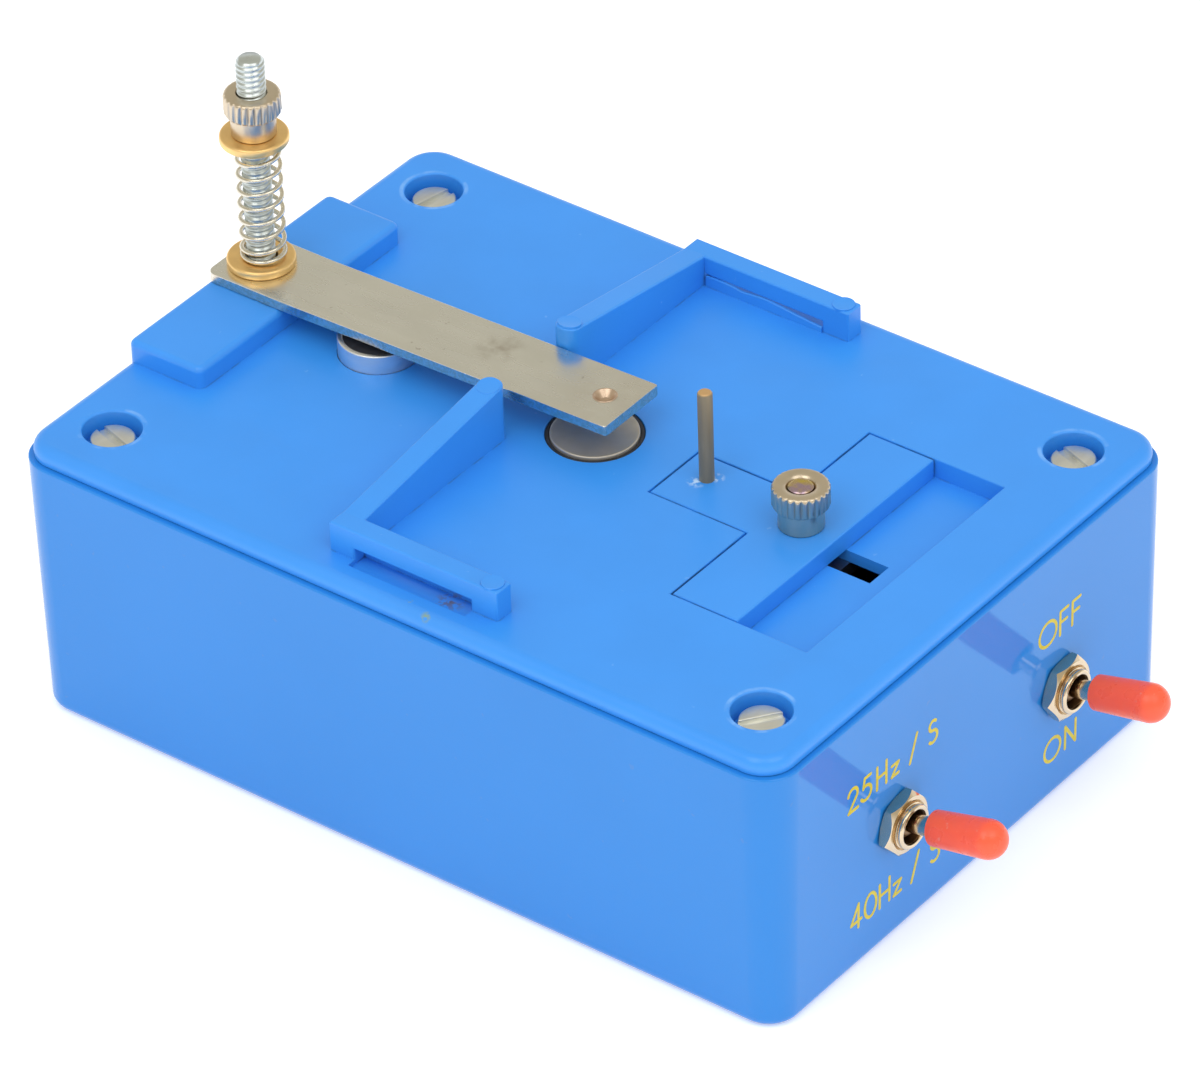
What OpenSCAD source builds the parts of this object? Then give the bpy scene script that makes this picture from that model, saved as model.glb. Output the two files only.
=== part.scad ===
// Ticker timer: a blue moulded case whose lid carries a sprung steel arm over an electromagnet,
// a steel anvil, two slotted guides for the paper tape, and a sliding tongue with a spindle for
// the carbon disc. Two toggle switches sit in the end wall and two sockets in the back wall.
// Millimetres. Origin at the middle of the case's underside, +X towards the switches,
// +Y towards the back, +Z up.

/* [Case] */
// Length of the lid, and of the case at its foot
case_len = 120; // [118:0.5:130]
// Width of the lid, and of the case at its foot
case_wid = 85; // [84:0.5:95]
// Height of the case up to the seam under the lid
case_h = 39.6; // [38.5:0.1:46]
// How far the walls lean out on their way up, which is how far the rim stands past the lid
wall_draft = 0.75; // [0.4:0.05:1]
// Thickness of the case's walls at the foot
wall_t = 2.2; // [2:0.1:2.4]
// Thickness of the case's floor
floor_t = 2.4; // [2:0.1:2.8]
// Radius of the upright corners
corner_r = 4.5; // [4:0.25:6]
// Rounding of the case's bottom edge
foot_edge_r = 1.6; // [0.8:0.1:2]

/* [Lid] */
// Height of the lid above the seam
lid_h = 2.5; // [2.2:0.1:3]
// Depth of the lid's plug inside the case
plug_h = 2.1; // [1.9:0.1:3]
// Gap between the plug and the case's walls
plug_gap = 0.3; // [0.2:0.05:0.4]
// Rounding of the lid's top edge
lid_edge_r = 1.6; // [1:0.1:1.8]
// Distance of the lid screws from the lid's ends
screw_inset_x = 8.2; // [7.6:0.1:9]
// Distance of the lid screws from the lid's long sides
screw_inset_y = 9; // [7.6:0.1:10]
// Diameter of the lid screws' shanks
screw_d = 3; // [2.8:0.1:3.5]
// Length of the lid screws under their heads
screw_len = 12; // [8:0.5:16]
// Diameter of the lid screws' heads
screw_head_d = 5.6; // [5.4:0.1:6.6]
// Height of the lid screws' heads
screw_head_h = 1.7; // [1.4:0.1:1.9]
// Diameter of the wells that the heads sit in
screw_well_d = 7.8; // [7.6:0.1:9]
// How far the heads lie below the lid's top
screw_sink = 1.4; // [1.2:0.1:2]

/* [Arm seat] */
// Width of the seat block along the arm
seat_len = 12.25; // [10:0.25:14]
// Length of the seat block across the arm
seat_wid = 41.8; // [30:0.5:50]
// Height of the seat block above the lid
seat_h = 3.2; // [3:0.1:4]
// Distance of the seat block from the lid's left edge
seat_inset = 0.05; // [0.05:0.05:0.4]
// Rounding of the seat block's top edges
seat_edge_r = 1; // [0.5:0.1:1]
// Radius of the seat block's upright corners
seat_corner_r = 1.1; // [1.1:0.1:2.5]

/* [Vibrating arm] */
// Length of the arm strip
arm_len = 65.2; // [62:0.1:68]
// Width of the arm strip
arm_wid = 11.4; // [10:0.1:12]
// Thickness of the arm strip
arm_t = 1.6; // [1.2:0.1:2]
// Radius of the arm strip's corners
arm_corner_r = 0.8; // [0.4:0.1:1.5]
// Upward bend of the arm past its seat, in degrees
arm_bend = 1.4; // [0.9:0.05:1.5]
// Turn of the arm about its stud, as it was screwed down, in degrees
arm_yaw = 0.4; // [0:0.1:0.6]
// How far the arm rocks down, in degrees
rock_max = 2.4; // [2:0.1:2.4]
// Diameter of the clearance hole round the stud
arm_hole_d = 4.8; // [4.6:0.1:5.4]
// Distance of the arm's centre line behind the case's centre line
arm_y = 1.7; // [1.2:0.1:1.8]
// Distance of the striker from the arm's tip
striker_inset = 4.25; // [3:0.05:6]
// Diameter of the striker's rivet flange
striker_d = 3.3; // [2.8:0.1:4]
// Diameter of the striker's punch point
punch_d = 1.9; // [1.5:0.1:2.4]
// Height of the rivet flange above the arm
striker_flange_h = 0.25; // [0.2:0.05:0.5]
// Least gap between the striker and the anvil, where the tape and carbon disc pass
strike_gap = 0.2; // [0.1:0.05:0.3]

/* [Stud and spring] */
// Diameter of the stud
stud_d = 3.9; // [3.8:0.05:4]
// Length of the stud
stud_len = 40; // [38:0.5:44]
// Height of the stud's top above the lid
stud_top = 36.7; // [35:0.1:37.5]
// Distance of the stud from the arm's left end
stud_inset = 4.75; // [3.9:0.05:5]
// Diameter of both washers
washer_d = 9.2; // [8.6:0.1:10]
// Diameter of the washers' holes
washer_hole_d = 4.4; // [4.35:0.05:4.6]
// Thickness of both washers
washer_t = 1.3; // [1:0.1:1.5]
// Outer diameter of the spring
spring_d = 6.3; // [6:0.1:7]
// Diameter of the spring's wire
spring_wire_d = 0.65; // [0.5:0.05:0.7]
// Length of the spring at rest, under the nut's load
spring_len = 17.8; // [15:0.1:19]
// Number of curls of the spring
spring_curls = 7.5; // [6:0.5:9]

/* [Thumb nuts] */
// Diameter over the grip's teeth
nut_grip_d = 7.6; // [7.2:0.1:8.4]
// Depth of the grip's teeth
nut_tooth_h = 0.3; // [0.2:0.05:0.4]
// Number of teeth
nut_teeth = 24; // [18:1:26]
// Height of the toothed grip
nut_grip_h = 3.3; // [2.5:0.1:4]
// Diameter of the smooth collar
nut_collar_d = 6; // [5.6:0.1:6.6]
// Height of the smooth collar
nut_collar_h = 2.9; // [2:0.1:3.5]

/* [Magnet] */
// Distance of the magnet from the case's middle, towards the arm's seat
magnet_x = 34.5; // [33:0.1:35]
// Diameter of the magnet's steel pot
pot_d = 10.9; // [10.5:0.1:11.5]
// Height of the whole pot
pot_h = 24; // [20:0.5:28]
// Height of the pot above the lid
pot_rise = 2.7; // [2.5:0.05:2.7]
// Thickness of the pot's wall
pot_wall = 0.7; // [0.6:0.05:0.9]
// Thickness of the pot's bottom
pot_base_t = 1.5; // [1.2:0.1:2]
// Diameter of the magnet's core
core_d = 4; // [3.6:0.1:4.2]
// Thickness of the bobbin's tube and flanges
bobbin_t = 0.6; // [0.5:0.05:0.7]
// Depth of the potting resin over the bobbin
potting_t = 1.5; // [1:0.1:2]
// How far the resin and the core lie below the pot's rim
potting_sink = 0.3; // [0.2:0.05:0.5]
// Height of the collar under the lid that grips the pot
pot_collar_h = 8; // [6:0.5:10]
// Wall of that collar
pot_collar_wall = 2.5; // [2:0.1:3]

/* [Anvil] */
// Distance of the anvil from the case's middle, towards the arm's seat
anvil_x = 0.4; // [0:0.1:0.8]
// Distance of the anvil behind the case's centre line
anvil_y = 1.4; // [1:0.1:1.8]
// Diameter of the anvil's disc
anvil_d = 11.7; // [11:0.1:12.5]
// Thickness of the anvil's disc
anvil_t = 2.2; // [2:0.1:2.4]
// Height of the anvil above the lid
anvil_rise = 0.3; // [0.2:0.05:0.4]
// Outer diameter of the black ring that the anvil lies in
anvil_ring_d = 12.9; // [12.8:0.1:14]
// How far the ring lies below the lid's top
anvil_ring_sink = 0.1; // [0.05:0.05:0.4]
// Diameter of the anvil's threaded stem
anvil_stem_d = 4; // [3:0.1:4.2]
// Length of the anvil's stem under the lid
anvil_stem_out = 4.2; // [3.6:0.1:6]

/* [Tape guides] */
// Distance of the middle of the tape guides behind the case's centre line
guide_y = 0.75; // [0.4:0.05:1]
// Distance of the guides' left face from the case's middle, towards the arm's seat
guide_x = 12.3; // [12:0.1:13]
// Length of each slotted wall
guide_len = 26.6; // [25:0.1:27]
// Distance of the slotted walls' outer faces from the guides' middle
guide_reach = 38.65; // [36:0.05:38.8]
// Thickness of the slotted walls
guide_slot_wall_t = 3; // [2.5:0.1:3.2]
// Thickness of the side walls
guide_side_wall_t = 3.4; // [3:0.1:3.8]
// Height of the slotted walls
guide_low_h = 4.4; // [3.6:0.1:4.5]
// Height of the side walls at the slotted walls
guide_mid_h = 4.4; // [4.4:0.1:5]
// Height of the side walls at their inner ends
guide_high_h = 8.5; // [7:0.1:9]
// Gap between the front side wall's inner end and the arm
front_arm_gap = 1.8; // [1:0.1:3]
// Gap between the back side wall's inner end and the arm
back_arm_gap = 0.3; // [0.3:0.1:2]
// Width of the tape slot
tape_slot_w = 18.6; // [16:0.1:19]
// Distance of the tape slot from the guides' left face
tape_slot_inset = 3.8; // [3.4:0.1:5]
// Height of the tape slot above the lid
tape_slot_h = 1.6; // [1.2:0.1:2]
// Depth of the tape slot's lead-in below the lid's top
tape_lead_depth = 0.7; // [0.5:0.1:1]
// How far the lead-in runs past the slotted wall
tape_lead_out = 1.5; // [1:0.1:1.7]
// Width of the lip that the lead-in leaves under the slotted wall's inner face
tape_lip = 1; // [0.6:0.1:1.4]

/* [Disc slide] */
// Distance of the slide's centre line behind the case's centre line
slide_y = 0.5; // [0.2:0.1:0.8]
// Distance of the tongue's tip from the case's middle
tongue_x = 12.8; // [12:0.1:13.5]
// Length of the tongue
tongue_len = 15.4; // [14:0.1:17]
// Width of the recess that the tongue runs in
tongue_w = 10.9; // [10:0.1:12]
// Width of the cross bar along its travel
bar_len = 10.5; // [9:0.1:12]
// Length of the recess for the cross bar along its travel
bar_recess_len = 21.1; // [20.8:0.1:22]
// Width of the recess across its travel
bar_w = 42.5; // [36:0.5:46]
// Depth of the recess
recess_depth = 2.9; // [2.6:0.1:3]
// Side gap round the slide
slide_gap = 0.15; // [0.1:0.05:0.2]
// Travel of the slide
slide_travel = 10; // [8:0.5:10]
// Distance of the clamp screw from the tongue's tip
clamp_inset = 20.2; // [19:0.1:21]
// Width of the slot in the recess's floor
floor_slot_w = 4.1; // [4.1:0.05:4.6]
// Distance of the spindle from the tongue's tip
spindle_inset = 4.6; // [3:0.1:6]
// Distance of the spindle behind the slide's centre line
spindle_off = 1; // [0:0.1:1.2]
// Diameter of the spindle
spindle_d = 2; // [1.8:0.05:2.2]
// Height of the spindle above the lid
spindle_h = 13.6; // [10:0.1:16]
// Side of the square clamp plate under the lid
clamp_plate_w = 12; // [10:0.5:13]
// Thickness of the clamp plate
clamp_plate_t = 2; // [1.5:0.1:2.5]
// Diameter of the clamp screw
clamp_screw_d = 3.9; // [3.8:0.05:3.95]

/* [Switches] */
// Distance of the power switch behind the case's centre line
power_switch_y = 18.4; // [17:0.1:20]
// Height of the power switch
power_switch_z = 17.6; // [16:0.1:20]
// Distance of the speed switch in front of the case's centre line
speed_switch_y = 17.2; // [16:0.1:20]
// Height of the speed switch
speed_switch_z = 18.5; // [16:0.1:20]
// Diameter of the switches' threaded bushes
bush_d = 6.2; // [6:0.05:6.35]
// How far the bushes stand out past their nuts
bush_out = 1; // [0.8:0.1:2.2]
// Bore of the bushes
bush_bore_d = 4.8; // [4.6:0.1:5]
// Hexagon nuts, across the flats
hex_af = 8; // [7.6:0.1:8.6]
// Thickness of the hexagon nuts
hex_t = 1.7; // [1.4:0.1:2.2]
// Turn of the power switch's nut, in degrees
power_nut_turn = 26; // [0:1:60]
// Turn of the speed switch's nut, in degrees
speed_nut_turn = 18; // [0:1:60]
// Width of the switch housings
switch_w = 7.9; // [7:0.1:9]
// Height of the switch housings
switch_h = 13.2; // [12:0.1:14]
// Depth of the switch housings
switch_depth = 9.5; // [8:0.1:10]
// Thickness of the bushes' inner flanges
bush_flange_t = 0.8; // [0.6:0.1:1]
// Diameter of the levers
lever_d = 2.6; // [2.2:0.1:2.7]
// Tilt of the levers from straight, in degrees
lever_tilt = 13; // [11:0.5:14]
// Length of the red caps
cap_len = 11.1; // [10:0.1:14]
// Distance of the caps from the levers' pivots
cap_start = 5.6; // [5:0.1:6.5]
// Diameter of the caps at their mouths
cap_small_d = 4.7; // [4.4:0.1:5.2]
// Largest diameter of the caps
cap_big_d = 5.2; // [5.2:0.1:6.8]
// Length of a solder tag
tag_len = 4; // [3:0.1:4.5]
// Width of a solder tag
tag_w = 2; // [1.6:0.1:2.4]
// Thickness of a solder tag
tag_t = 0.8; // [0.6:0.1:1]
// Distance between the tags of a switch
tag_pitch = 4.7; // [4:0.1:5]

/* [Sockets] */
// Distance of the red socket from the case's left end
socket_inset = 20; // [18:0.5:24]
// Distance between the two sockets
socket_pitch = 19; // [15:0.5:20]
// Height of the sockets
socket_z = 20; // [18:0.5:24]
// Bore of the sockets
socket_bore_d = 4; // [3.9:0.05:4.1]
// Depth of the bore
socket_bore_len = 18; // [14:0.5:20]
// Diameter of the sockets' insulating heads
socket_head_d = 11; // [10:0.5:13]
// Height of the sockets' heads
socket_head_h = 4; // [3:0.1:6]
// Diameter of the sockets' necks in the wall
socket_neck_d = 7.6; // [7:0.1:8]
// Diameter of the metal sleeves
sleeve_d = 5.6; // [5.2:0.1:6]
// Nuts on the sockets, across the flats
socket_nut_af = 10; // [9:0.5:12]
// Thickness of the nuts on the sockets
socket_nut_t = 2.4; // [2:0.1:3]

/* [Circuit] */
// Length of the circuit board
board_len = 54; // [48:1:56]
// Width of the circuit board
board_wid = 50; // [44:1:54]
// Thickness of the circuit board
board_t = 1.6; // [1.2:0.1:2]
// Distance of the board's middle from the case's middle, towards the switches
board_x = 8; // [6:0.5:9]
// Height of the posts under the board
board_post_h = 5; // [4:0.5:7]
// Diameter of the posts under the board
board_post_d = 6; // [5.5:0.1:7]
// Distance of the board's screws from its edges
board_screw_inset = 4; // [3.5:0.1:5]
// Diameter of the board's screws
board_screw_d = 2.5; // [2:0.1:2.9]
// Diameter of the leads' insulation
lead_d = 1.4; // [1.2:0.1:1.6]

/* [Hidden] */

// Smoothness of round faces and of hulled corners
$fn = 64;
hull_sides = 32;
// Overrun of every cut past the face that it opens
over = 1;
// Radial gap of a thread or a pressed shank in its hole
fit_gap = 0.05;
// Gap between flat faces that slide or turn on each other
face_gap = 0.05;
// Clearance round a shank in a plain hole
shank_gap = 0.2;

// Heights that the pieces share
seam_z = case_h;
lid_top = seam_z + lid_h;
plug_bottom = seam_z - plug_h;
seat_top = lid_top + seat_h;
recess_floor = lid_top - recess_depth;

// Places on the lid
screw_x = case_len / 2 - screw_inset_x;
screw_y = case_wid / 2 - screw_inset_y;
seat_left = -case_len / 2 + seat_inset;
seat_right = seat_left + seat_len;
arm_left = seat_left - face_gap;
arm_right = arm_left + arm_len;
stud_x = arm_left + stud_inset;
striker_x = arm_right - striker_inset;
clamp_x = tongue_x + clamp_inset;
spindle_x = tongue_x + spindle_inset;
slide_right = tongue_x + tongue_len + bar_len;

// Rounded upright outline, with exact arcs
module round_outline(length, width, radius) {
    square([length - 2 * radius, width], center = true);
    square([length, width - 2 * radius], center = true);
    for (sx = [-1, 1], sy = [-1, 1])
        translate([sx * (length / 2 - radius), sy * (width / 2 - radius)])
            circle(radius);
}

// Round corner post whose top edge is rounded
edge_steps = 8;

module turned_corner(radius, height, edge) {
    rotate_extrude($fn = hull_sides)
        polygon(concat([[0, 0], [radius, 0]],
            [for (i = [0 : edge_steps])
                [radius - edge + edge * cos(90 * i / edge_steps),
                    height - edge + edge * sin(90 * i / edge_steps)]],
            [[0, height]]));
}

// Block with rounded corners and a rounded top edge
module soft_block(length, width, height, radius, edge) {
    hull()
        for (sx = [-1, 1], sy = [-1, 1])
            translate([sx * (length / 2 - radius), sy * (width / 2 - radius), 0])
                turned_corner(radius, height, edge);
}

// Case: a tub with corner posts for the lid's screws and short posts for the board
post_wall = 2.5;
post_d = screw_d + 2 * post_wall;
post_len = plug_bottom - floor_t;
rib_t = 1.5;

module tub_shell() {
    hull() {
        for (sx = [-1, 1], sy = [-1, 1])
            translate([sx * (case_len / 2 - corner_r), sy * (case_wid / 2 - corner_r),
                foot_edge_r + face_gap])
                mirror([0, 0, 1])
                    turned_corner(corner_r, foot_edge_r + face_gap, foot_edge_r);
        translate([0, 0, case_h - face_gap])
            linear_extrude(face_gap)
                round_outline(case_len + 2 * wall_draft, case_wid + 2 * wall_draft,
                    corner_r + wall_draft, $fn = hull_sides);
    }
}

module corner_post(sx, sy) {
    translate([sx * screw_x, sy * screw_y, floor_t])
        cylinder(d = post_d, h = post_len);
    rib_x = case_len / 2 - wall_t - screw_x + wall_t / 2;
    rib_y = case_wid / 2 - wall_t - screw_y + wall_t / 2;
    translate([sx * (screw_x + rib_x / 2), sy * screw_y, floor_t + post_len / 2])
        cube([rib_x, rib_t, post_len], center = true);
    translate([sx * screw_x, sy * (screw_y + rib_y / 2), floor_t + post_len / 2])
        cube([rib_t, rib_y, post_len], center = true);
}

module socket_places() {
    for (i = [0, 1])
        translate([socket_x + i * socket_pitch, case_wid / 2, socket_z])
            children();
}

module base_case() {
    color("#2f8ef0")
        difference() {
            union() {
                difference() {
                    tub_shell();
                    translate([0, 0, floor_t])
                        linear_extrude(case_h)
                            round_outline(case_len - 2 * wall_t, case_wid - 2 * wall_t,
                                corner_r - wall_t);
                }
                for (sx = [-1, 1], sy = [-1, 1])
                    corner_post(sx, sy);
                board_post_places()
                    cylinder(d = board_post_d, h = board_post_h);
            }
            for (sx = [-1, 1], sy = [-1, 1])
                translate([sx * screw_x, sy * screw_y, plug_bottom - screw_len])
                    cylinder(d = screw_d + 2 * fit_gap, h = screw_len + over);
            board_post_places()
                translate([0, 0, board_post_h - board_screw_len])
                    cylinder(d = board_screw_d + 2 * fit_gap, h = board_screw_len + over);
            for (s = switches)
                translate([case_len / 2 - wall_t - over, s[0], s[1]])
                    rotate([0, 90, 0])
                        cylinder(d = bush_d + 2 * shank_gap, h = wall_t + wall_draft + 2 * over);
            socket_places()
                translate([0, wall_draft + over, 0])
                    rotate([90, 0, 0])
                        cylinder(d = socket_neck_d + 2 * shank_gap,
                            h = wall_t + wall_draft + 2 * over);
        }
}

// Lid: one moulding with the arm's seat, the tape guides, whose side walls end beside the arm,
// and the recess of the slide
arm_slope = sin(arm_yaw);
arm_front_at_guide = arm_y + (-guide_x - stud_x) * arm_slope - arm_wid / 2;
arm_back_at_guide = arm_y + (guide_side_wall_t - guide_x - stud_x) * arm_slope + arm_wid / 2;
guide_side_lens = [guide_reach - guide_y + arm_front_at_guide - front_arm_gap,
    guide_reach + guide_y - arm_back_at_guide - back_arm_gap];

module guide_side_profile(side_len) {
    polygon([[0, 0], [side_len, 0], [side_len, guide_high_h], [guide_slot_wall_t, guide_mid_h],
        [0, guide_mid_h]]);
}

// One guide, drawn for the front and mirrored for the back
module tape_guide(side_len) {
    intersection() {
        translate([guide_side_wall_t, 0, 0])
            rotate([0, 0, 90])
                rotate([90, 0, 0])
                    translate([0, 0, -guide_side_wall_t])
                        linear_extrude(guide_side_wall_t)
                            guide_side_profile(side_len);
        linear_extrude(guide_high_h + over) {
            square([guide_side_wall_t, side_len - guide_side_wall_t / 2]);
            translate([guide_side_wall_t / 2, side_len - guide_side_wall_t / 2])
                circle(d = guide_side_wall_t);
        }
    }
    difference() {
        cube([guide_len, guide_slot_wall_t, guide_low_h]);
        translate([tape_slot_inset, -over, -over])
            cube([tape_slot_w, guide_slot_wall_t + 2 * over, tape_slot_h + over]);
    }
}

module lead_in() {
    translate([tape_slot_inset, -tape_lead_out, -tape_lead_depth])
        cube([tape_slot_w, tape_lead_out + guide_slot_wall_t - tape_lip,
            tape_lead_depth + over]);
}

module at_guide(sy) {
    translate([-guide_x, guide_y, lid_top])
        mirror([0, sy, 0])
            translate([0, -guide_reach, 0])
                children();
}

module t_outline(bar, gap) {
    translate([tongue_x + gap, -tongue_w / 2 + gap])
        square([tongue_len + bar / 2, tongue_w - 2 * gap]);
    translate([tongue_x + tongue_len + gap, -bar_w / 2 + gap])
        square([bar - 2 * gap, bar_w - 2 * gap]);
}

module lid() {
    color("#3b97f5")
        difference() {
            union() {
                translate([0, 0, seam_z])
                    soft_block(case_len, case_wid, lid_h, corner_r, lid_edge_r);
                translate([0, 0, plug_bottom])
                    linear_extrude(plug_h + lid_h / 2)
                        round_outline(case_len - 2 * wall_t - 2 * plug_gap,
                            case_wid - 2 * wall_t - 2 * plug_gap, corner_r - wall_t);
                translate([seat_left + seat_len / 2, slide_y, lid_top - lid_edge_r])
                    soft_block(seat_len, seat_wid, seat_h + lid_edge_r, seat_corner_r,
                        seat_edge_r);
                for (sy = [0, 1])
                    at_guide(sy)
                        tape_guide(guide_side_lens[sy]);
                translate([-magnet_x, 0, plug_bottom - pot_collar_h])
                    cylinder(d = pot_d + 2 * pot_collar_wall, h = pot_collar_h + plug_h);
            }
            for (sy = [0, 1])
                at_guide(sy)
                    lead_in();
            for (sx = [-1, 1], sy = [-1, 1])
                translate([sx * screw_x, sy * screw_y, 0]) {
                    translate([0, 0, lid_top - screw_sink - screw_head_h])
                        cylinder(d = screw_well_d, h = lid_h + plug_h);
                    translate([0, 0, plug_bottom - over])
                        cylinder(d = screw_d + 2 * shank_gap, h = lid_h + plug_h);
                }
            translate([stud_x, arm_y, lid_top + stud_top - stud_len])
                cylinder(d = stud_d + 2 * fit_gap, h = stud_len);
            translate([-magnet_x, 0, plug_bottom - pot_collar_h - over])
                cylinder(d = pot_d + 2 * fit_gap, h = pot_h + 2 * over);
            translate([-anvil_x, anvil_y, lid_top + anvil_rise - anvil_t - fit_gap])
                cylinder(d = anvil_ring_d + 2 * fit_gap, h = anvil_t + over);
            translate([-anvil_x, anvil_y, plug_bottom - over])
                cylinder(d = anvil_stem_d + 2 * shank_gap, h = lid_h + plug_h);
            translate([0, slide_y, recess_floor])
                linear_extrude(recess_depth + over)
                    t_outline(bar_recess_len, 0);
            slot_left = clamp_x - floor_slot_w / 2 - slide_gap;
            slot_right = clamp_x + slide_travel + floor_slot_w / 2;
            translate([slot_left, slide_y - floor_slot_w / 2, plug_bottom - over])
                cube([slot_right - slot_left, floor_slot_w, lid_h + plug_h]);
        }
}

// Slotted cheese-head screws in the lid's corners, each turned as it was left
screw_turn_shares = [0.453, 0.217, 0.15, 0.447];
head_slot_w = 1;

module slotted_screw(shank, length, head, head_h) {
    difference() {
        union() {
            translate([0, 0, -length])
                cylinder(d = shank, h = length);
            cylinder(d = head, h = head_h);
        }
        translate([0, 0, head_h])
            cube([head + over, head_slot_w, head_h], center = true);
    }
}

module lid_screws() {
    color("#b8b6a4")
        for (i = [0 : 3])
            translate([(i < 2 ? -1 : 1) * screw_x, (i % 2 == 0 ? -1 : 1) * screw_y,
                lid_top - screw_sink - screw_head_h])
                rotate([0, 0, 360 * screw_turn_shares[i]])
                    slotted_screw(screw_d, screw_len - fit_gap, screw_head_d, screw_head_h);
}

// Stud that the arm is sprung on
stud_tip = 0.6;

module arm_stud() {
    color("#a9b3ae")
        translate([stud_x, arm_y, lid_top + stud_top])
            rotate_extrude()
                polygon([[0, -stud_len + fit_gap], [stud_d / 2, -stud_len + fit_gap],
                    [stud_d / 2, -stud_tip], [stud_d / 2 - stud_tip, 0], [0, 0]]);
}

// Arm strip: flat on its seat, then bent a little up
arm_out = arm_right - seat_right;
arm_rise = arm_out * tan(arm_bend);

module at_arm() {
    translate([stud_x, arm_y, 0])
        rotate([0, 0, arm_yaw])
            translate([-stud_x, -arm_y, 0])
                children();
}

module vibrating_arm() {
    color("#b4ad99")
        at_arm()
            difference() {
                intersection() {
                    translate([0, arm_y + arm_wid / 2, seat_top])
                        rotate([90, 0, 0])
                            linear_extrude(arm_wid)
                                polygon([[arm_left, 0], [seat_right, 0], [arm_right, arm_rise],
                                    [arm_right, arm_rise + arm_t], [seat_right, arm_t],
                                    [arm_left, arm_t]]);
                    translate([(arm_left + arm_right) / 2, arm_y, seat_top - over])
                        linear_extrude(arm_rise + arm_t + 2 * over)
                            round_outline(arm_len, arm_wid, arm_corner_r);
                }
                translate([stud_x, arm_y, seat_top - over])
                    cylinder(d = arm_hole_d, h = arm_t + 2 * over);
                at_striker()
                    translate([0, 0, -over])
                        cylinder(d = punch_d + 2 * fit_gap, h = arm_t + 2 * over);
            }
}

// Striker: a rivet through the arm's tip whose foot prints the dot
striker_reach = striker_x - seat_right;
striker_base = seat_top + striker_reach * tan(arm_bend);
striker_low = lid_top + anvil_rise + strike_gap
    + striker_reach * (tan(rock_max - arm_bend) + tan(arm_bend));

module at_striker() {
    translate([striker_x, arm_y, striker_base])
        rotate([0, -arm_bend, 0])
            children();
}

module striker() {
    color("#c08a5a")
        at_arm()
            at_striker()
                difference() {
                    union() {
                        translate([0, 0, striker_low - striker_base])
                            cylinder(d = punch_d, h = striker_base - striker_low + arm_t);
                        translate([0, 0, arm_t])
                            cylinder(d = striker_d, h = striker_flange_h);
                    }
                    translate([0, 0, arm_t + striker_flange_h / 2])
                        cylinder(d = punch_d, h = striker_flange_h);
                }
}

// Washers and spring on the stud
module washer() {
    difference() {
        cylinder(d = washer_d, h = washer_t);
        translate([0, 0, -over])
            cylinder(d = washer_hole_d, h = washer_t + 2 * over);
    }
}

spring_foot = seat_top + arm_t + washer_t;
spring_head = spring_foot + spring_len;

module lower_washer() {
    color("#d4aa5a")
        translate([stud_x, arm_y, seat_top + arm_t])
            washer();
}

module upper_washer() {
    color("#d4aa5a")
        translate([stud_x, arm_y, spring_head])
            washer();
}

// A tube along points; across holds, for each point, one direction square to the tube
function unit(v) = v / norm(v);
function along(pts, i) = unit(pts[min(i + 1, len(pts) - 1)] - pts[max(i - 1, 0)]);
function ring(pts, across, i, radius, sides) =
    let (t = along(pts, i), u = unit(across[i] - (across[i] * t) * t), v = cross(t, u))
        [for (k = [0 : sides - 1])
            pts[i] + radius * (cos(360 * k / sides) * u + sin(360 * k / sides) * v)];

module tube(pts, across, radius, sides) {
    n = len(pts);
    rings = [for (i = [0 : n - 1]) each ring(pts, across, i, radius, sides)];
    skin = [for (i = [0 : n - 2], k = [0 : sides - 1])
        let (a = i * sides + k, b = i * sides + (k + 1) % sides)
            each [[a, a + sides, b], [b, a + sides, b + sides]]];
    first = [for (k = [1 : sides - 2]) [0, k, k + 1]];
    last = [for (k = [1 : sides - 2])
        [(n - 1) * sides, (n - 1) * sides + k + 1, (n - 1) * sides + k]];
    polyhedron(points = rings, faces = concat(skin, first, last));
}

// Spring: one tube of round curls, with a short upright end on each washer
spring_rings = 8;
spring_sides = 6;
spring_mid_r = (spring_d - spring_wire_d) / 2;
curl_low = spring_foot + spring_wire_d;
curl_high = spring_head - spring_wire_d;
curl_steps = spring_curls * spring_rings;
function spring_way(turn) = [cos(360 * turn), sin(360 * turn), 0];
function spring_point(turn) = spring_mid_r * spring_way(turn)
    + [0, 0, curl_low + (curl_high - curl_low) * turn / spring_curls];
spring_path = concat(
    [spring_mid_r * spring_way(0) + [0, 0, spring_foot]],
    [for (i = [0 : curl_steps]) spring_point(i / spring_rings)],
    [spring_mid_r * spring_way(spring_curls) + [0, 0, spring_head]]);
spring_across = concat([spring_way(0)],
    [for (i = [0 : curl_steps]) spring_way(i / spring_rings)],
    [spring_way(spring_curls)]);
spring_gap = min([for (i = [0 : len(spring_path) - 1], j = [0 : len(spring_path) - 1])
    if (j > i + spring_rings / 2) norm(spring_path[j] - spring_path[i])]) - spring_wire_d;
echo(spring_least_gap_to_itself = spring_gap);

module arm_spring() {
    color("#c9c3b0")
        translate([stud_x, arm_y, 0])
            tube(spring_path, spring_across, spring_wire_d / 2, spring_sides);
}

// Thumb nut: a toothed grip over a smooth collar
tooth_points = 6;
tooth_chamfer = 0.6;

module tooth_outline() {
    n = nut_teeth * tooth_points;
    mid = (nut_grip_d - nut_tooth_h) / 2;
    polygon([for (i = [0 : n - 1])
        (mid + nut_tooth_h / 2 * cos(360 * i / tooth_points))
            * [cos(360 * i / n), sin(360 * i / n)]]);
}

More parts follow.
